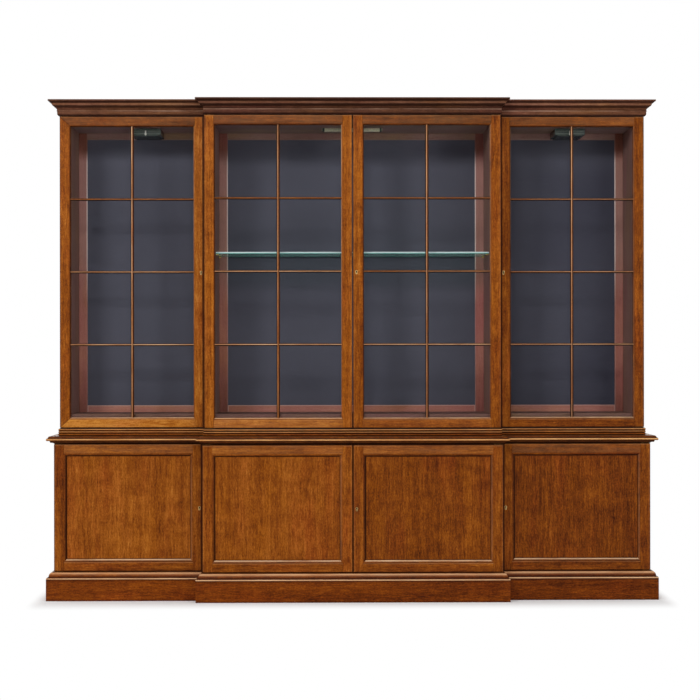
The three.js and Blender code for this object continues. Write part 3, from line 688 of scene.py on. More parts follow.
cornicewood = wood("mahogany_cornice", CORNICE_STOPS, (36, 14, 7), (206, 168, 144), wear_and_highlight_share=0.9, rough=0.4,
                   fleck=0.6, mottle=0.3, patchy=3.2, patch_level=0.5)
innerwood = wood("mahogany_inner", INNER_STOPS, INNER_DEEP, (250, 226, 220), patchy=0.3, patch_level=1.0, wear_and_highlight_share=0.9,
                 dirt_and_shade_share=0.7, **INNER)
# For the inner linings of the case sides and the top rails of the back frame: greyer still, with more painted
# reflection.
shadewood = wood("mahogany_shade", SHADE_STOPS, INNER_DEEP, (200, 160, 146), **INNER)
ceilingwood = wood("mahogany_ceiling", CEILING_STOPS, FLAT_DEEP, FLAT_BRIGHT, axis=X, level=0.4, **INNER)
floorwood = wood("mahogany_inner_flat", FLAT_STOPS, FLAT_DEEP, FLAT_BRIGHT, axis=X, level=0.4, **INNER)
carcass = wood("carcass", CARCASS_STOPS, CARCASS_DEEP, CARCASS_BRIGHT, **CARCASS)
carcass_flat = wood("carcass_flat", CARCASS_STOPS, CARCASS_DEEP, CARCASS_BRIGHT, axis=X, **CARCASS)
carcass_upright = wood("carcass_upright", CARCASS_STOPS, CARCASS_DEEP, CARCASS_BRIGHT, axis=Z, **CARCASS)
brass = metal("brass", (222, 184, 112), (150, 112, 60), 0.3)
key_brass = metal("escutcheon_brass", (196, 162, 104), (70, 44, 22), 0.4)
old_brass = metal("old_brass", (124, 88, 46), (58, 38, 20), 0.45)
steel = metal("lock_metal", (140, 120, 84), (88, 70, 46), 0.4)
lining = cloth("slate_cloth")
pane = glass("pane_glass", (0.955, 0.965, 0.96, 1.0), 1.29)
shelf_low, shelf_high = node_box("glass_shelf")
shelf_face = glass("shelf_face", (0.86, 0.95, 0.92, 1.0), 1.3, (60, 232, 206))
shelf_edge = cut_edge("shelf_edge", shelf_low[Z] * MM, shelf_high[Z] * MM)
housing = plain("lamp_body", (66, 74, 68), 0.25)
trim = plain("lamp_trim", (104, 112, 100), 0.4)
lens = plain("lamp_lens", (236, 234, 226), 0.2)
diffuser = plain("lamp_diffuser", (232, 226, 196), 0.4)
# Near-black: painted shade inside the keyholes.
dark = plain("keyhole_dark", (12, 6, 4), 0.9, MATT)


def dress(node, finish):
    """Gives a CAD node a better material."""
    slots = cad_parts[node].data.materials
    slots.clear()
    slots.append(finish)


# Paths and profiles
def breakfront(case, tuck=0.0):
    """The corners of the front and ends of one case, stood out by p, at level z.
    The returns of the middle section stand out less, by the tuck."""
    def ring(p, z):
        side = max(p - tuck, RETURN_LIP) if p > RETURN_LIP else p
        left = [
            (-case["half"] - p, BACK, z),
            (-case["half"] - p, case["wing_front"] - p, z),
            (-case["centre"] - side, case["wing_front"] - p, z),
            (-case["centre"] - side, case["centre_front"] - p, z),
        ]
        return left + [(-x, y, z) for x, y, z in reversed(left)]
    return ring


RUNS = range(7)
LEVEL, UPRIGHT = "level", "upright"


def curve(points, to, steps=10):
    """Adds a quarter curve from the last point. It leaves that point level or upright."""
    (a, b), (c, d, leaves) = points[-1], to
    for i in range(1, steps + 1):
        turn = i / steps * math.pi / 2
        early, late = math.sin(turn), 1 - math.cos(turn)
        across, up = (early, late) if leaves == LEVEL else (late, early)
        points.append((a + (c - a) * across, b + (d - b) * up))


def moulding(shares, projection, bottom, top):
    """A profile from shares of its projection and of its height."""
    points = []
    for across, up, *leaves in shares:
        p, z = across * projection, bottom + up * (top - bottom)
        if leaves:
            curve(points, (p, z, *leaves))
        else:
            points.append((p, z))
    return points


def close(points, extra, radius=1.1, reaches=(2.6,)):
    return tracked(soften(points + extra, radius), reaches)


def patina_and_painted_light(bottom, top, *rows):
    """Tone, wear and dirt at shares of a moulding's height, with painted highlights among the wear and
    painted shade among the dirt.
    """
    return [(bottom + share * (top - bottom), *look) for share, *look in rows]


# Base
around_plinth = breakfront(BASE, PLINTH_TUCK)
shape = Shape()
flat = close([(PLINTH_OUT, 0), (PLINTH_OUT, PLINTH_FLAT)], [(PLINTH_SKIN, PLINTH_FLAT), (PLINTH_SKIN, 0)],
             reaches=(2.6, 9))
# Darker along the bottom, and painted shade under the lip of the moulding above.
aged_with_painted_light = patina_and_painted_light(0, PLINTH_FLAT, (0, -0.1, 0, 0.75), (0.03, -0.05, 0, 0.3), (0.1, 0, 0, 0), (0.9, 0, 0, 0),
              (0.965, -0.05, 0, 0.35), (0.985, 0, 0, 0.8), (1, 0, 0, 0.9))
mitred(shape, around_plinth, flat, RUNS, aged_with_painted_light, tones=[0, -0.06, 0, -0.04, 0, -0.08, 0])
ogee = moulding([(1, 0), (0.94, 0.02), (1, 0.1, LEVEL), (0.94, 0.19, UPRIGHT), (0.88, 0.2),
                 (0.67, 0.39, LEVEL), (0.12, 0.97, UPRIGHT), (0.12, 1)], PLINTH_OUT, PLINTH_FLAT, PLINTH_TOP)
# Painted highlights on the bead at its foot and on its upper curve, painted shade in the hollows.
aged_with_painted_light = patina_and_painted_light(
    PLINTH_FLAT, PLINTH_TOP, (0, 0, 0, 0.9), (0.02, 0.1, 0.9, 0), (0.1, 0.1, 1, 0), (0.17, 0.05, 0.9, 0),
    (0.2, 0, 0, 0.9), (0.32, -0.2, 0, 0.8), (0.42, -0.15, 0, 0.35), (0.6, -0.1, 0.05, 0.05),
    (0.72, 0, 0.35, 0), (0.84, 0.15, 0.85, 0), (0.91, 0.1, 0.6, 0.1), (0.95, 0, 0, 0.95), (1, 0, 0, 1))
mitred(shape, around_plinth, close(ogee, [(PLINTH_IN, PLINTH_TOP), (PLINTH_IN, PLINTH_FLAT)]), RUNS, aged_with_painted_light,
       tone=0.06, covered=2, ends=[0.6, 0.8, 1, 1, 1, 1, 1, 0.7])
inner_out, inner_bottom, inner_step = PLINTH_SKIN - 0.2, 0.5, PLINTH_FLAT - 0.3
mitred(shape, around_plinth,
       close([(inner_out, inner_bottom), (inner_out, inner_step)],
             [(PLINTH_IN, inner_step), (PLINTH_IN, INNER_PLINTH_TOP), (INNER_PLINTH_IN, INNER_PLINTH_TOP),
              (INNER_PLINTH_IN, inner_bottom)]), RUNS, [(0, 0, 0, 0.2)], slot=1)
board(shape, (-INNER_PLINTH_HALF, BACK + INNER_PLINTH_IN, inner_bottom),
      (INNER_PLINTH_HALF, BACK, INNER_PLINTH_TOP), X, tone=-0.1, slot=1)
board(shape, (-LEDGE_HALF, BACK - LEDGE_DEPTH, INNER_PLINTH_TOP + 0.3), (LEDGE_HALF, BACK, PLINTH_TOP), X,
      tone=-0.1, slot=1)
shape.finish("plinth_wood", "cabinet", "mahogany", [plinthwood, carcass], "plinth")

shape = Shape()
lip = moulding([(0, 0), (0.37, 0.14, UPRIGHT), (0.53, 0.31, LEVEL), (0.56, 0.39), (0.91, 0.39),
                (1, 0.54, LEVEL), (0.91, 0.71, UPRIGHT), (0.8, 0.73), (0.78, 0.77), (0.4, 1, UPRIGHT)],
               SURBASE_OUT, BASE_CASE_TOP, BASE_TOP)
# Painted shade on the underside and lower curve, a painted highlight along the nosing, painted shade in the
# hollow above it; the right end gets more highlight.
aged_with_painted_light = patina_and_painted_light(
    BASE_CASE_TOP, BASE_TOP, (0, 0, 0, 1), (0.14, -0.1, 0, 0.9), (0.2, -0.05, 0, 0.6), (0.28, 0, 0, 0.4),
    (0.34, 0, 0, 0.8), (0.4, 0, 0, 0.8), (0.49, 0.05, 0.05, 0), (0.55, 0.2, 1, 0), (0.61, 0.2, 0.85, 0),
    (0.65, 0, 0.1, 0.1), (0.74, 0, 0, 0.9), (0.8, -0.1, 0, 0.6), (0.87, -0.1, 0, 0.1),
    (0.94, -0.15, 0, 0.2), (0.98, -0.2, 0, 0.7), (1, -0.1, 0.15, 0.3))
lip = close(lip, [(SURBASE_IN, BASE_TOP), (SURBASE_IN, BASE_CASE_TOP)])
mitred(shape, breakfront(BASE, SURBASE_TUCK), lip, RUNS, aged_with_painted_light, ends=[0.6, 0.8, 1, 1, 1, 1, 1.5, 1.5])
wing_side, wing_step = BASE["half"] + SURBASE_IN, BASE["centre"] + SURBASE_IN
for x0, x1, front in ((-wing_side, -wing_step, "wing_front"), (-wing_step, wing_step, "centre_front"),
                      (wing_step, wing_side, "wing_front")):
    board(shape, (x0, BASE[front] - SURBASE_IN, BASE_CASE_TOP), (x1, BACK, BASE_TOP), X, slot=1, arris=0.6)
shape.finish("surbase_wood", "cabinet", "mahogany", [ledgewood, carcass], "base_top")

for name in ("base_left_side", "base_right_side"):
    shape = Shape()
    board(shape, *node_box(name), Z)
    shape.finish(f"{name}_wood", "cabinet", "mahogany", [doorwood], name)


def boarded_back(low, high, arris):
    """Upright boards side by side."""
    shape = Shape()
    wide = (high[X] - low[X]) / BACK_BOARDS
    for i in range(BACK_BOARDS):
        x0 = low[X] + i * wide
        board(shape, (x0, low[Y], low[Z]), (x0 + wide, high[Y], high[Z]), Z, spread=0.12, arris=arris)
    return shape


shape = boarded_back(*node_box("base_back"), 1.6)
shape.finish("base_back_boards", "cabinet", "carcass_wood", [carcass], "base_back")

# Upper case
shape = Shape()
reed = (WAIST_TOP - WAIST_BOTTOM) / 3
reeds = [(REED_ROOT, WAIST_BOTTOM)]
aged_with_painted_light = []
# Painted shade in the grooves and under each reed, painted highlights on the crests of the upper two reeds.
for i, crest in enumerate((0.0, 0.75, 1.0)):
    bottom, top = WAIST_BOTTOM + i * reed, WAIST_BOTTOM + (i + 1) * reed
    curve(reeds, (REED_CREST, WAIST_BOTTOM + (i + 0.5) * reed, LEVEL))
    curve(reeds, (REED_ROOT, top, UPRIGHT))
    aged_with_painted_light += patina_and_painted_light(bottom, top, (0, 0, 0, 1), (0.2, 0, 0, 1 - 0.3 * crest), (0.36, -0.1, 0, 0.3),
                   (0.5, 0, 0.05 * crest, 0), (0.66, 0.1, crest, 0), (0.8, 0, 0.1 * crest, 0.3),
                   (0.9, 0, 0, 0.8))
aged_with_painted_light.append((WAIST_TOP, 0, 0, 1))
reeds += [(WAIST_IN, WAIST_TOP), (WAIST_IN, WAIST_BOTTOM)]
mitred(shape, breakfront(UPPER, WAIST_TUCK), tracked(reeds), RUNS, aged_with_painted_light)
shape.finish("waist_reeds", "cabinet", "mahogany", [ledgewood], "waist_moulding")

shape = Shape()
crown = moulding([(0.05, 0), (0.21, 0.14, LEVEL), (0.21, 0.28), (0.26, 0.315, LEVEL), (0.21, 0.35, UPRIGHT),
                  (0.22, 0.365), (0.39, 0.53, UPRIGHT), (0.44, 0.54), (0.44, 0.58), (0.68, 0.78, LEVEL),
                  (0.79, 0.8), (0.95, 0.895, UPRIGHT), (1, 0.9), (1, 1)],
                 CORNICE_OUT, CORNICE_BOTTOM, CORNICE_TOP)
crown = close(crown, [(CORNICE_IN, CORNICE_TOP), (CORNICE_IN, CORNICE_SEAT), (CORNICE_LAP, CORNICE_SEAT),
                      (CORNICE_LAP, CORNICE_BOTTOM)], 0.8)
# Painted shade under the cornice and in its hollows, painted highlights on the small bead and the upper
# curve, strongest near the breaks.
aged_with_painted_light = patina_and_painted_light(
    CORNICE_BOTTOM, CORNICE_TOP, (0, 0, 0, 1), (0.06, -0.1, 0, 0.95), (0.11, 0, 0, 0), (0.25, 0.05, 0, 0),
    (0.275, 0, 0, 0.5), (0.295, 0.1, 0.6, 0), (0.335, 0.1, 0.6, 0), (0.36, -0.05, 0, 0.6),
    (0.4, -0.05, 0, 0.1), (0.5, -0.1, 0, 0), (0.54, -0.3, 0, 0.5), (0.62, -0.25, 0, 0.25),
    (0.67, 0.15, 0.1, 0), (0.76, 0.15, 0.12, 0), (0.8, -0.1, 0, 0.4), (0.85, -0.3, 0, 0.7),
    (0.895, -0.1, 0, 0.3), (0.93, 0, 0, 0), (1, 0.0, 0.1, 0))
mitred(shape, breakfront(UPPER, CORNICE_TUCK), crown, RUNS, aged_with_painted_light, tones=[0, -0.06, 0, -0.2, 0, -0.03, 0],
       covered=0.5, ends=[0.3, 0.2, 1.3, 0.6, 0.6, 1.2, 0.4, 0.3])
board(shape, (-CORNICE_BOARD_HALF, BACK + CORNICE_IN, CORNICE_SEAT),
      (CORNICE_BOARD_HALF, BACK, CORNICE_TOP), X, slot=1)
shape.finish("cornice_wood", "cabinet", "dark_mahogany", [cornicewood, carcass], "cornice")

OUTER_SKIN, LINER, LINER_BACK, BATTEN = 22.0, 40.0, 50.0, 22.0
DOOR_ROOM, PIN_ROW, SIDE_OF_DIVIDER = 26.0, 16.0, (669.0, 685.0)


def wall(name, side, outer, front, rear, cutters=()):
    """A case side: outer skin, inner lining and two battens between them."""
    shape = Shape()
    lap, reach = (BATTEN, LINER_BACK) if rear > BACK_FRAME_REAR else (0, LINER)
    for start, end, y0, y1, slot in (
            (0, OUTER_SKIN, front, rear, 0), (LINER, LINER_BACK, front, rear - lap, 1),
            (OUTER_SKIN, LINER, front, front + BATTEN, 0), (OUTER_SKIN, reach, rear - BATTEN, rear, 2)):
        x0, x1 = sorted((side * (outer - start), side * (outer - end)))
        board(shape, (x0, y0, CASE_BOTTOM), (x1, y1, CASE_TOP), Z, slot=slot, arris=0.8, wear_and_highlight_share=0.3,
              tone=-0.12 if slot == 1 else 0, cutters=cutters if start == 0 else ())
    shape.finish(f"{name}_wood", "cabinet", "mahogany", [doorwood, shadewood, carcass], name)


KEEPER_LEVEL, KEEPER_HALF, KEEPER_DEPTH = 1499.6, 10.4, 3.4
for side, name in ((-1, "left"), (1, "right")):
    wall(f"upper_{name}_side", side, UPPER["half"], UPPER["wing_front"] + DOOR_ROOM, BACK)
    low, high = sorted(side * x for x in SIDE_OF_DIVIDER)
    y = UPPER["wing_front"] + PIN_ROW
    keeper = plain_box((low, y - KEEPER_DEPTH, KEEPER_LEVEL - KEEPER_HALF),
                       (high, y + KEEPER_DEPTH, KEEPER_LEVEL + KEEPER_HALF))
    wall(f"upper_{name}_divider", side, UPPER["centre"], UPPER["centre_front"] + DOOR_ROOM, DIVIDER_REAR,
         [keeper])


# Levels in mm of the painted light and shade on the back frame's stiles.
TOP_FROM, LOW_FROM, REFLECTION_FROM = 2030, 1100, 1350
TOP_REACH, LOW_REACH, REFLECTION_REACH, PALE_REACH = 60, 300, 250, 4.5
STILE_CUTS = (950, LOW_FROM, REFLECTION_FROM, 1475, 1600, TOP_FROM, 2090)


def frame_look(inner):
    """A back frame's stile with painted light: a painted highlight along its inner edge, a paler, greyer
    painted reflection over its upper half, and painted shade at its two ends.
    """
    def look_of(p):
        gap = min(abs(p[X] - x) for x in inner)
        top, low = clamp((p[Z] - TOP_FROM) / TOP_REACH), clamp((LOW_FROM - p[Z]) / LOW_REACH)
        lit = clamp((p[Z] - REFLECTION_FROM) / REFLECTION_REACH) * (1 - top)
        pale = clamp(1.2 - gap / PALE_REACH) * (0.15 + 0.85 * lit)
        return -0.25 * top - 0.35 * low - 0.2 * lit, pale + 0.14 * lit, 0.0
    return look_of


near, far = WING_WINDOW
shape = Shape()
for x0, x1, inner in ((-BACK_FRAME_HALF, -far, [-far]), (-near, -CENTRE_WINDOW, [-near, -CENTRE_WINDOW]),
                      (CENTRE_WINDOW, near, [CENTRE_WINDOW, near]), (far, BACK_FRAME_HALF, [far])):
    board(shape, (x0, BACK_FRAME_FRONT, CASE_BOTTOM), (x1, BACK_FRAME_REAR, CASE_TOP), Z, arris=2.2,
          bands=(1.2, 3.5), look_of=frame_look(inner), cuts=STILE_CUTS)
for x0, x1 in ((-far, -near), (-CENTRE_WINDOW, CENTRE_WINDOW), (near, far)):
    for low, high, tone, slot in ((CASE_BOTTOM, BACK_RAIL_LOW, 0.12, 0), (BACK_RAIL_HIGH, CASE_TOP, 0.0, 1)):
        board(shape, (x0, BACK_FRAME_FRONT, low), (x1, BACK_FRAME_REAR, high), X, arris=2.2, wear_and_highlight_share=0.4,
              tone=tone, slot=slot)
shape.finish("back_frame_wood", "cabinet", "inner_mahogany", [innerwood, shadewood], "upper_back_frame")

shape = Shape()
board(shape, (-BACK_FRAME_HALF, LINING_FRONT, CASE_BOTTOM),
      (BACK_FRAME_HALF, LINING_FRONT + LINING_THICK, CASE_TOP), Z, arris=0.4)
shape.finish("lining_cloth", "cabinet", "slate_cloth", [lining], "back_lining")
shape = boarded_back((-BACK_FRAME_HALF, LINING_FRONT + 1.6, CASE_BOTTOM),
                     (BACK_FRAME_HALF, BACK, CASE_TOP), 1.4)
shape.finish("upper_back_boards", "cabinet", "carcass_wood", [carcass])

for name, finish in (("base_floor", carcass_flat), ("base_left_divider", carcass_upright),
                     ("base_right_divider", carcass_upright), ("upper_floor", floorwood),
                     ("upper_top", ceilingwood)):
    dress(name, finish)

# Shelf and lights
TOUCH = 1e-6
points, faces = round_box(shelf_low, shelf_high, 0.8, (1.0,))
shape = Shape()
shape.add(points, faces)
gaps = [min(p[Z] - shelf_low[Z], shelf_high[Z] - p[Z]) for p in points]
shape.slots = [int(max(gaps[i] for i in face) >= TOUCH) for face in faces]
shape.finish("glass_shelf_sheet", "cabinet", "shelf_glass", [shelf_face, shelf_edge], "glass_shelf")

PIN_WALL, PIN_LEVEL, PIN_FRONT, PIN_BACK = 625.9, 1579.7, -69.5, 161.9
PIN_STATIONS = ((0, 4.6), (1.0, 4.6), (1.4, 3.3), (12.0, 3.3), (12.3, 2.6))
shape = Shape()
for side in (-1, 1):
    for y in (PIN_FRONT, PIN_BACK):
        stations = [(-side * out, radius) for out, radius in PIN_STATIONS]
        turned(shape, X, (side * PIN_WALL, y, PIN_LEVEL), stations)
shape.finish("shelf_pins", "cabinet", "brass", [brass])

LIGHT_HALF, LIGHT_LENGTH, LIGHT_GAP, LIGHT_HEIGHT = 70.0, 200.0, 12.0, 30.0
for name in ("left", "right"):
    low, high = node_box(f"{name}_light")
    x, top = (low[X] + high[X]) / 2, high[Z]
    rear = BACK_FRAME_FRONT - LIGHT_GAP
    front = rear - LIGHT_LENGTH
    shape = Shape()
    for half, y0, y1, z0, z1, arris, slot in (
            (LIGHT_HALF, front, rear, LIGHT_HEIGHT, 0, 2, 0),
            (LIGHT_HALF - 12, front + 8, rear - 8, LIGHT_HEIGHT + 4, LIGHT_HEIGHT - 1, 1, 0),
            (LIGHT_HALF - 1, front - 0.8, front + 1, 13, 11, 0.5, 1),
            (LIGHT_HALF - 4, front - 0.8, front + 1, 24.5, 22.5, 0.5, 1)):
        board(shape, (x - half, y0, top - z0), (x + half, y1, top - z1), X, arris=arris, slot=slot)
    shape.finish(f"{name}_light_body", "cabinet", "lamp_body", [housing, trim], f"{name}_light")
    shape = Shape()
    turned(shape, Z, (x, front - 2.6, top - LIGHT_HEIGHT - 2),
           [(0, 1.5), (1.5, 3.6), (5, 4.9), (11, 4.9), (13, 3.4), (22, 3.4)])
    shape.finish(f"{name}_light_bulb", "cabinet", "lamp_diffuser", [lens])

(x0, y0, z0), (x1, y1, z1) = node_box("centre_light")
shape = Shape()
board(shape, (x0, y0 + 3, z0 + 3), (x1, y1 - 3, z1), X, arris=5)
board(shape, (x0 + 12, y0, z0), (x1 - 12, y1, z0 + 12), X, arris=4)
for side in (-1, 1):
    x = side * (x1 - 8)
    board(shape, (x - 5, y0 + 1, z0 + 1), (x + 5, y1 - 1, z1), X, arris=2, slot=1)
shape.finish("strip_light", "cabinet", "lamp_diffuser", [diffuser, housing], "centre_light")

# Doors
DOOR_BANDS = (0.9, 1.9, 4.3, 7.2, 9.2, 11.2, 13.6)
EDGE_REACH, SIDE_REACH, LOOK_DEPTH = 16.0, 1.5, 4.0


def rectangle(x0, x1, z0, z1, front):
    """The corners of a door's opening, q outside it and at a depth behind the door's face."""
    def ring(q, depth):
        return [(x0 - q, front + depth, z0 - q), (x0 - q, front + depth, z1 + q),
                (x1 + q, front + depth, z1 + q), (x1 + q, front + depth, z0 - q)]
    return ring


def edge_look(kind, s):
    """Wear and dirt at a distance s from an edge of a door's face: dark joints at gaps and seams, painted
    highlights on the arrises, and painted shade on bottom edges, under the surbase and beside the middle
    section. Past the edge s is negative.
    """
    return {
        "gap": (peak(s, 0.3, 4.3, 2.4), fill(s, 1, 1.3, 1.8)),
        "wide gap": (peak(s, 0.4, 7.2, 2.4), max(fill(s, 1, 1.3, 1.8), fill(s, 0.4, 4.6, 2))),
        "wear_and_highlight": (peak(s, 0.7, 2.8, 3.0), fill(s, 1, 0.5, 1.8)),
        "shaded": (peak(s, 0.7, 6.4, 2.8), fill(s, 1, 2.6, 2.4)),
        "mitre": (0.0, fill(s, 0.8, 0.4, 1.6)),
        "seam": (0.0, peak(s, 0.2, 0, 1.6)),
        "behind": (0.0, fill(s, 1, 8.4, 4)),
        "under": (0.0, fill(s, 1, 0.9, 2.4)),
    }[kind]


def door_look(low, high, kinds, veil=0.0):
    """kinds names the look of the left, right, bottom and top edge of a board's face.
    veil is a painted sheen, the least wear of the whole face."""
    def look_of(p):
        depth = p[Y] - low[Y]
        wear_and_highlight, dirt_and_shade = 0.0, 0.0
        for kind, inplane in zip(kinds, (p[X] - low[X], high[X] - p[X], p[Z] - low[Z], high[Z] - p[Z])):
            if inplane < EDGE_REACH:
                one, two = edge_look(kind, inplane - depth if inplane < SIDE_REACH else inplane)
                wear_and_highlight, dirt_and_shade = max(wear_and_highlight, one), max(dirt_and_shade, two)
        wear_and_highlight = 0.0 if depth > LOOK_DEPTH else max(wear_and_highlight, veil)
        return 0.0, wear_and_highlight * (1 - dirt_and_shade), dirt_and_shade
    return look_of


def keyhole_outline(spread=0.0, steps=14):
    """A round hole over a slot, as (across, up), grown by spread."""
    r, half = KEY_RADIUS + spread, KEY_SLOT / 2 + spread
    lift = math.asin(min(0.95, half / r))
    first, sweep = -math.pi / 2 + lift, 2 * math.pi - 2 * lift
    turns = [first + sweep * i / steps for i in range(steps + 1)]
    ring = [(r * math.cos(turn), r * math.sin(turn)) for turn in turns]
    return ring + [(-half, -KEY_LENGTH - spread), (half, -KEY_LENGTH - spread)]


def keyhole(x, level, near, far, spread=0.0):
    """A keyhole's form at a level, between two depths."""
    return column(keyhole_outline(spread), lambda a, b, end: (x + a, (near, far)[end], level + b))


KEEPER_MORTISE = (-8.6, 5.0)


def bolt_room(near, far, front, level, play=0.0):
    """The room of a lock's bolt, from near to far across a door."""
    return plain_box((near, front + BOLT_FRONT - play, level - BOLT_HALF - play),
                     (far, front + BOLT_REAR + play, level + BOLT_HALF + play))


def bar(shape, width, axis, start, end, centre, front, tone, shine, lean):
    """A glazing bar: a square fillet against the glass and a round bead in front of it.
    shine is the painted highlight on its bead at its two ends, and lean the side that catches the light; its
    sides get painted shade."""
    half, bead = width / 2, width / 2 - BAR_FILLET
    rise, arc, steps = BAR_FOOT - BAR_FRONT, 12, 8
    left = [(-half, BAR_REAR), (-half, BAR_FOOT + 1), (-bead, BAR_FOOT)]
    turns = [math.pi * i / arc for i in range(1, arc)]
    round_front = [(-bead * math.cos(turn), BAR_FOOT - rise * math.sin(turn)) for turn in turns]
    section = left + round_front + [(-a, depth) for a, depth in reversed(left)]
    offset = grain_start()
    points, look, grain = [], [], []
    for k in range(steps + 1):
        share = k / steps
        along = start + (end - start) * share
        pale = shine[0] + (shine[1] - shine[0]) * share
        for across, depth in section:
            sideways, deep = centre + across, front + depth
            points.append((sideways, deep, along) if axis == Z else (along, deep, sideways))
            off = across - lean * bead * 0.25
            # A painted highlight on the front of the bead, painted shade on its sides.
            crest = clamp(1.4 - abs(off) / (bead * 0.38)) if depth < BAR_FOOT - 0.3 else 0.0
            dirt_and_shade = clamp((abs(off) - bead * 0.28) / (bead * 0.36)) * (0.85 if off > 0 else 1)
            look.append((tone, crest * pale, dirt_and_shade))
            grain.append([c * MM + first for c, first in zip((along, across, depth), offset)])
    count = len(section)
    faces = [list(range(count)), list(range(count * steps, count * (steps + 1)))]
    for k in range(steps):
        faces += band(count, k * count, (k + 1) * count)
    shape.add(points, faces, grain, look, slot=1)


# Tone, wear and dirt of a door's inner moulding at these shares of its depth: left, top, right, bottom.
# Painted light: shade on the left and top runs, which face away from the light, a faint highlight on the
# right run and a strong one on the bottom run, which face it; the darkest rows at the back are dark joints.
MOULDING_SHARES = (0.0, 0.09, 0.16, 0.35, 0.7, 0.9, 1.0, 1.2)
MOULDING_PATINA_AND_LIGHT = (
    ((-0.05, 0, 0), (-0.1, 0, 0.1), (-0.2, 0, 0.35), (-0.25, 0, 0.6), (-0.3, 0, 0.8), (-0.3, 0, 0.95),
     (0, 0, 1), (0, 0, 1)),
    ((0, 0.1, 0), (0, 0, 0.05), (-0.05, 0, 0.2), (-0.15, 0, 0.6), (-0.2, 0, 0.85), (-0.2, 0, 0.95), (0, 0, 1),
     (0, 0, 1)),
    ((0, 0, 0), (0, 0, 0.1), (-0.1, 0.08, 0), (-0.1, 0.1, 0), (-0.1, 0, 0.1), (-0.1, 0, 0.4), (0, 0, 0.7),
     (0, 0, 1)),
    ((0, 0, 0), (-0.1, 0, 0.1), (-0.15, 0.1, 0), (0, 0.9, 0), (0, 0.9, 0), (0, 0.3, 0.4), (0, 0, 1),
     (0, 0, 1)),
)
CHIP_AND_HIGHLIGHT_FROM, CHIP_AND_HIGHLIGHT_ENDS = 0.6, (0.1, 1.3, 1.3, 0.1)


def moulding_rows(run, depth, chip_and_highlight):
    """The tone, wear and dirt of one run of a door's inner moulding, with its painted light.
    chip_and_highlight is the wear and painted highlight of its inner part.
    """
    rows = []
    for share, (tone, wear_and_highlight, dirt_and_shade) in zip(MOULDING_SHARES, MOULDING_PATINA_AND_LIGHT[run]):
        if chip_and_highlight:
            wear_and_highlight, dirt_and_shade = (max(wear_and_highlight, chip_and_highlight), 0) if share > CHIP_AND_HIGHLIGHT_FROM else (wear_and_highlight, dirt_and_shade)
        rows.append((share * depth, tone, wear_and_highlight, dirt_and_shade))
    return rows


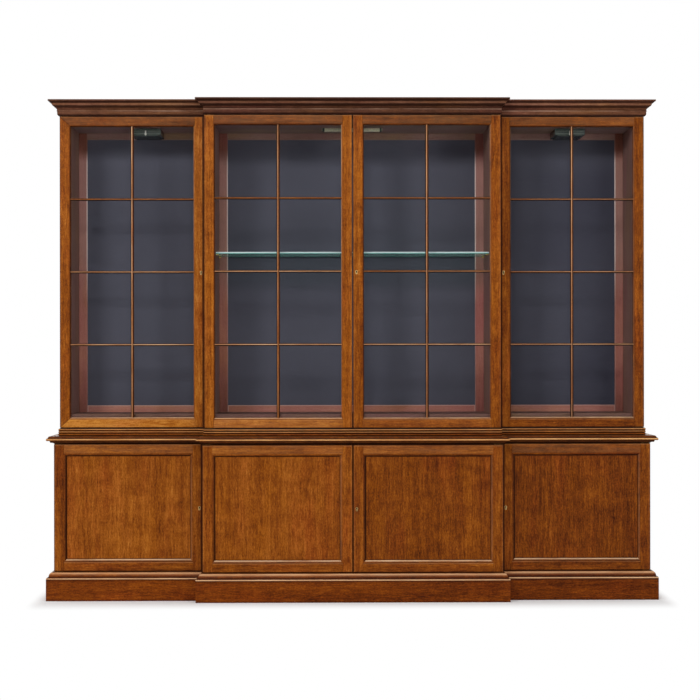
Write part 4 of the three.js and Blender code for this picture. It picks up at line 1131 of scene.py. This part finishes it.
def door(name, glazed, hinge, lock, mitre=False, meet=False, tone=0.0, tones=(0, 0, 0, 0),
         cross=(0.5, 0.6, 0.8), behind=0, wide_gap=0, chips_and_highlights=(0, 0), upright=0.6, veils=(0.0, 0.22),
         crown="wear_and_highlight"):
    """One door. hinge and lock give the side: -1 left, 1 right, 0 none. tones are those of the left and right
    stile and the bottom and top rail, cross the painted highlight of the cross bars from the top down,
    chips_and_highlights the wear and painted highlight of the left and right inner moulding, and veils the
    painted sheen of the bottom and top rail."""
    (x0, front, z0), (x1, rear, z1) = node_box(f"{name}_door_frame")
    kind = GLAZED if glazed else PANELLED
    width, depth = kind["width"], kind["depth"]
    wide, high_rail = kind["stile"] - width, kind["rail"] - width
    middle = (z0 + z1) / 2
    body = f"{name}_door"
    shape = Shape()
    for side, edge, own in ((-1, x0, tones[0]), (1, x1, tones[1])):
        cutters = []
        if hinge == side:
            for low, high in ((z0 - 5, z0 + PIN_REACH), (z1 - PIN_REACH, z1 + 5)):
                cutters.append(pin_cutter(edge - side * PIN_INSET, front + PIN_DEPTH, low, high, PIN_BORE))
        if lock == side:
            x = edge - side * KEY_INSET
            cutters.append(keyhole(x, middle, front - 5, front + 16))
            near, far = sorted((edge - side * MORTISE_LENGTH, edge + side * 5))
            cutters.append(bolt_room(near, far, front, middle, BOLT_PLAY))
        if meet and side > 0:
            cutters.append(bolt_room(*KEEPER_MORTISE, front, middle, BOLT_PLAY))
        a, b = sorted((edge, edge - side * wide))
        # Beside the middle section a wing door's edge gets painted shade; at the break the middle door's edge
        # gets a wider dark joint.
        outer = "behind" if behind == side else "wide gap" if wide_gap == side else "gap"
        kinds = (outer, "seam", "under", crown) if side < 0 else ("seam", outer, "under", crown)
        slants = ((0, high_rail), (0, -high_rail)) if mitre and side == hinge else None
        if slants:
            kinds = kinds[:2] + ("mitre", "mitre")
        lowest, highest = (a, front, z0), (b, rear, z1)
        board(shape, lowest, highest, Z, tone=tone + own, cutters=cutters, mitre=slants, bands=DOOR_BANDS,
              look_of=door_look(lowest, highest, kinds))
    for bottom, top, own, lower_edge, upper_edge, slant, veil in (
            (z0, z0 + high_rail, tones[2], "under", "wear_and_highlight", (0, wide), veils[0]),
            (z1 - high_rail, z1, tones[3], "seam", crown, (wide, 0), veils[1])):
        lowest, highest = (x0 + (0 if mitre else wide), front, bottom), (x1 - wide, rear, top)
        kinds = ("mitre" if mitre else "seam", "seam", lower_edge, upper_edge)
        board(shape, lowest, highest, X, tone=tone + own, mitre=(slant, (0, 0)) if mitre else None,
              spread=0 if mitre else BOARD_SPREAD, bands=DOOR_BANDS,
              look_of=door_look(lowest, highest, kinds, veil))
    opening = (x0 + kind["stile"], x1 - kind["stile"], z0 + kind["rail"], z1 - kind["rail"])
    ring = rectangle(*opening, front)
    edge = [(width, kind["front"]), (width, QUIRK), (width - QUIRK, QUIRK)]
    curve(edge, (0, depth, LEVEL))
    edge.append((0, kind["front"]))
    for run, piece, chip_and_highlight in ((0, 0, chips_and_highlights[0]), (1, 3, 0), (2, 1, chips_and_highlights[1]), (3, 2, 0)):
        mitred(shape, ring, tracked(edge, (1.2,)), [run], moulding_rows(run, depth, chip_and_highlight),
               tone=tone + tones[piece] * 0.6, slot=1, ends=CHIP_AND_HIGHLIGHT_ENDS if chip_and_highlight else None)
    bead = soften([(width, kind["rear"]), (0, kind["rear"]), (0, DOOR_DEPTH), (width, DOOR_DEPTH)], 1.0)
    mitred(shape, ring, bead, range(4), [(0, 0, 0, 0.2)], tone=tone - 0.05)
    if glazed:
        a, b, bottom, top = opening
        centre = (a + b) / 2
        bar(shape, UPRIGHT_BAR, Z, bottom - 1, top + 1, centre, front, tone - 0.05,
            (0.5 * upright, upright), -1)
        for i, shine in enumerate(reversed(cross), 1):
            level = bottom + (top - bottom) * i / 4
            bar(shape, CROSS_BAR, X, a - 1, centre - 4, level, front, tone - 0.06, (shine * 0.6, shine), 1)
            bar(shape, CROSS_BAR, X, centre + 4, b + 1, level, front, tone - 0.06, (shine, shine * 0.8), 1)
    shape.finish(f"{name}_frame_wood", body, "mahogany", [doorwood, trimwood], f"{name}_door_frame")
    if glazed:
        dress(f"{name}_door_glass", pane)
    else:
        panel(name, body, opening, front, tone)
    leaves(name, body, hinge, x0 if hinge < 0 else x1, front, z0, z1)
    if lock:
        furniture(name, body, lock, x0 if lock < 0 else x1, front, rear, middle)


def panel(name, body, opening, front, tone):
    """A flat panel in its groove, with painted shadow along the moulding, where the frame shades it."""
    x0, x1, z0, z1 = opening

    def look_of(p):
        # Painted shadow of the frame on the panel along each edge, strongest on the left.
        edges = ((p[X] - x0, 3.6, 1.0), (x1 - p[X], 3.0, 0.8), (z1 - p[Z], 3.4, 0.95), (p[Z] - z0, 4.2, 0.8))
        return 0.0, 0.0, max(most * clamp(1.25 - max(0.0, gap) / reach * 1.25) for gap, reach, most in edges)

    shape = Shape()
    board(shape, (x0 - PANEL_REACH, front + PANEL_FRONT, z0 - PANEL_REACH),
          (x1 + PANEL_REACH, front + PANEL_REAR, z1 + PANEL_REACH), Z, tone=tone, arris=0.5,
          bands=(5.2, 6.4, 7.6, 9.2, 11.0, 14.0), look_of=look_of)
    shape.finish(f"{name}_panel_wood", body, "mahogany", [panelwood], f"{name}_door_panel")


def leaves(name, body, hinge, edge, front, z0, z1):
    """The brass hinge leaves let into a door's two ends, with their screws."""
    shape = Shape()
    pivot, y = edge - hinge * PIN_INSET, front + PIN_DEPTH
    a, b = sorted((pivot + hinge * PIN_BORE, pivot - hinge * LEAF_LENGTH))
    for low, high, out in ((z0 - LEAF_OUT, z0 + LEAF_THICK, -1), (z1 - LEAF_THICK, z1 + LEAF_OUT, 1)):
        hole = pin_cutter(pivot, y, low - 3, high + 3, PIN_BORE - 0.2)
        box = round_box((a, y - LEAF_HALF, low), (b, y + LEAF_HALF, high), 0.5, (1,))
        shape.add(*carve(*box, [hole]))
        for share in (0.45, 0.82):
            screw = (pivot - hinge * LEAF_LENGTH * share, y, high if out > 0 else low)
            turned(shape, Z, screw, [(-0.25 * out, 2.9), (0.12 * out, 2.9), (0.22 * out, 2.2)], 16)
    shape.finish(f"{name}_hinge_leaves", body, "brass", [old_brass])


LOCK_NEAR, LOCK_FAR, LOCK_HALF, LOCK_SCREW = 1.0, 39.0, 34.0, ((0, 3.2), (0.5, 3.0), (0.8, 2.2))
EDGE_PLATE_FRONT, EDGE_PLATE_REAR, EDGE_PLATE_HALF = 9.5, 22.5, 30.0


def furniture(name, body, lock, edge, front, rear, middle):
    """Escutcheon, lock plate on the back of the stile and the plate on the door's edge."""
    x = edge - lock * KEY_INSET
    shape = Shape()
    plate(shape, keyhole_outline(ESCUTCHEON), keyhole_outline(),
          lambda a, b, end: (x + a, front + (-0.2, 2.8)[end], middle + b), 2)
    a, b = sorted((edge - lock * LOCK_NEAR, edge - lock * LOCK_FAR))
    board(shape, (a, rear - 1.2, middle - LOCK_HALF), (b, rear + 0.5, middle + LOCK_HALF), X, arris=0.5,
          slot=1)
    for dx in (8, 32):
        for dz in (-28, 28):
            turned(shape, Y, (edge - lock * dx, rear + 0.4, middle + dz), LOCK_SCREW, 16)
    slot = bolt_room(edge - 9, edge + 9, front, middle)
    low, high = sorted((edge - lock * 1.2, edge + lock * 0.15))
    box = round_box((low, front + EDGE_PLATE_FRONT, middle - EDGE_PLATE_HALF),
                    (high, front + EDGE_PLATE_REAR, middle + EDGE_PLATE_HALF), 0.3, (1,))
    shape.add(*carve(*box, [slot]))
    shape.finish(f"{name}_lock_fittings", body, "brass", [old_brass, steel, key_brass])
    # A near-black plug inside the keyhole: painted shade in the hole.
    shape = Shape()
    shape.add(*keyhole(x, middle, front + 4.0, front + 8.0, -0.1))
    shape.finish(f"{name}_keyhole_dark", body, "brass", [dark])


door("lower_left", False, -1, 1, tone=-0.04, tones=(-0.06, 0, -0.08, -0.09), behind=1)
door("lower_centre_left", False, -1, 0, meet=True, tone=0.02, tones=(0, 0.04, -0.06, -0.06), crown="shaded")
door("lower_centre_right", False, 1, -1, tone=-0.04, tones=(0, 0, 0, -0.08), crown="shaded")
door("lower_right", False, 1, -1, tone=-0.08, tones=(0.08, 0.0, 0, -0.08), behind=-1)
door("upper_left", True, -1, 1, mitre=True, tone=0.0, tones=(-0.11, 0.17, 0.24, -0.26), behind=1,
     cross=(0.2, 0.7, 1.0), chips_and_highlights=(0, 0.25), upright=0.8)
door("upper_centre_left", True, -1, 0, meet=True, tone=0.02, tones=(-0.05, 0.03, 0.08, -0.3),
     cross=(0.15, 0.9, 1.0), wide_gap=-1, chips_and_highlights=(0, 0.9), upright=0.45, veils=(0.3, 0.26))
door("upper_centre_right", True, 1, -1, tone=0.02, tones=(-0.05, -0.08, 0.02, -0.26), cross=(0.2, 0.4, 0.9),
     chips_and_highlights=(0, 0.4), upright=0.6, veils=(0.08, 0.26))
door("upper_right", True, 1, -1, tone=-0.02, tones=(0.0, -0.13, -0.1, -0.22), cross=(0.4, 0.5, 0.8),
     behind=-1, chips_and_highlights=(0.5, 0), veils=(0.0, 0.26))

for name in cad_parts:
    if "_hinge_" in name:
        dress(name, old_brass)
    elif name.endswith("_bolt"):
        dress(name, steel)

# Floor, world and lamps
FLOOR_HALF = 30.0
SHADOW_REACH, SIDE_FADE, SHADOW_HALF, SHADOW_LEAST = 0.3, 4.0, (1.4, 0.2), 0.1
AMBIENT, GREY = 0.34, (0.8, 0.8, 0.8, 1)
WHITE = (1, 1, 1, 1)


def seen_rays(n):
    """1 for the camera and for what shines or clears, 0 for light that falls on things."""
    path = n.new("LightPath").outputs
    return n.most(path["Is Camera Ray"], n.most(path["Is Glossy Ray"], path["Is Transmission Ray"]))


def fading_white(name):
    """Matt close to the part, to hold its shadow, and white for the eye further away."""
    n = material(name)
    x, y, _ = n.split(n.place())
    dx, dy = (n.most(n.minus(n.math("ABSOLUTE", c), half), 0.0) for c, half in zip((x, y), SHADOW_HALF))
    dx = n.times(dx, SIDE_FADE)
    near = n.new("MapRange")
    near.interpolation_type = "SMOOTHSTEP"
    away = n.math("SQRT", n.plus(n.times(dx, dx), n.times(dy, dy)))
    for key, value in (("Value", away), ("From Max", SHADOW_REACH), ("To Min", SHADOW_LEAST)):
        n.set(near.inputs[key], value)
    matt = n.out("BsdfDiffuse", Color=GREY)
    glow = n.out("Emission", Color=WHITE, Strength=1.0)
    return n.finish(n.blend(n.times(seen_rays(n), near.outputs[0]), matt, glow))


data = bpy.data.meshes.new("floor")
corners = [(x * FLOOR_HALF, y * FLOOR_HALF, 0) for x, y in ((-1, -1), (1, -1), (1, 1), (-1, 1))]
data.from_pydata(corners, [], [[0, 1, 2, 3]])
data.materials.append(fading_white("floor"))
floor = link("floor", data)

scene.world = bpy.data.worlds.new("studio")
n = Nodes(scene.world)
ambient, white = (n.out("Background", Color=WHITE, Strength=power) for power in (AMBIENT, 1.0))
n.finish(n.blend(seen_rays(n), ambient, white), "OutputWorld")


def lamp(name, place, aim, size, power):
    data = bpy.data.lights.new(name, "AREA")
    data.shape = "RECTANGLE"
    data.size, data.size_y = size
    data.energy = power
    thing = link(name, data)
    thing.location = place
    thing.rotation_euler = (Vector(aim) - Vector(place)).to_track_quat("-Z", "Y").to_euler()


lamp("key", (-4.2, -7.2, 4.4), (-0.2, 0.0, 1.2), (1.6, 1.6), 190)
lamp("front", (-0.6, -8.2, 5.0), (-0.1, 0.0, 1.2), (2.2, 1.2), 190)
lamp("fill", (4.8, -7.5, 2.4), (0.2, 0.0, 1.1), (2.4, 2.4), 115)
lamp("top", (0.0, -0.9, 4.6), (0.0, -0.2, 1.2), (4.5, 0.3), 45)
lamp("rear", (0.0, 7.5, 3.6), (0.0, 0.0, 1.1), (4.0, 2.0), 330)
for side in (-1, 1):
    lamp(f"end_{side}", (side * 6.5, 1.2, 2.8), (side * 1.3, 0.1, 1.1), (2.0, 2.0), 110)

bpy.context.scene.view_settings.view_transform = "Standard"
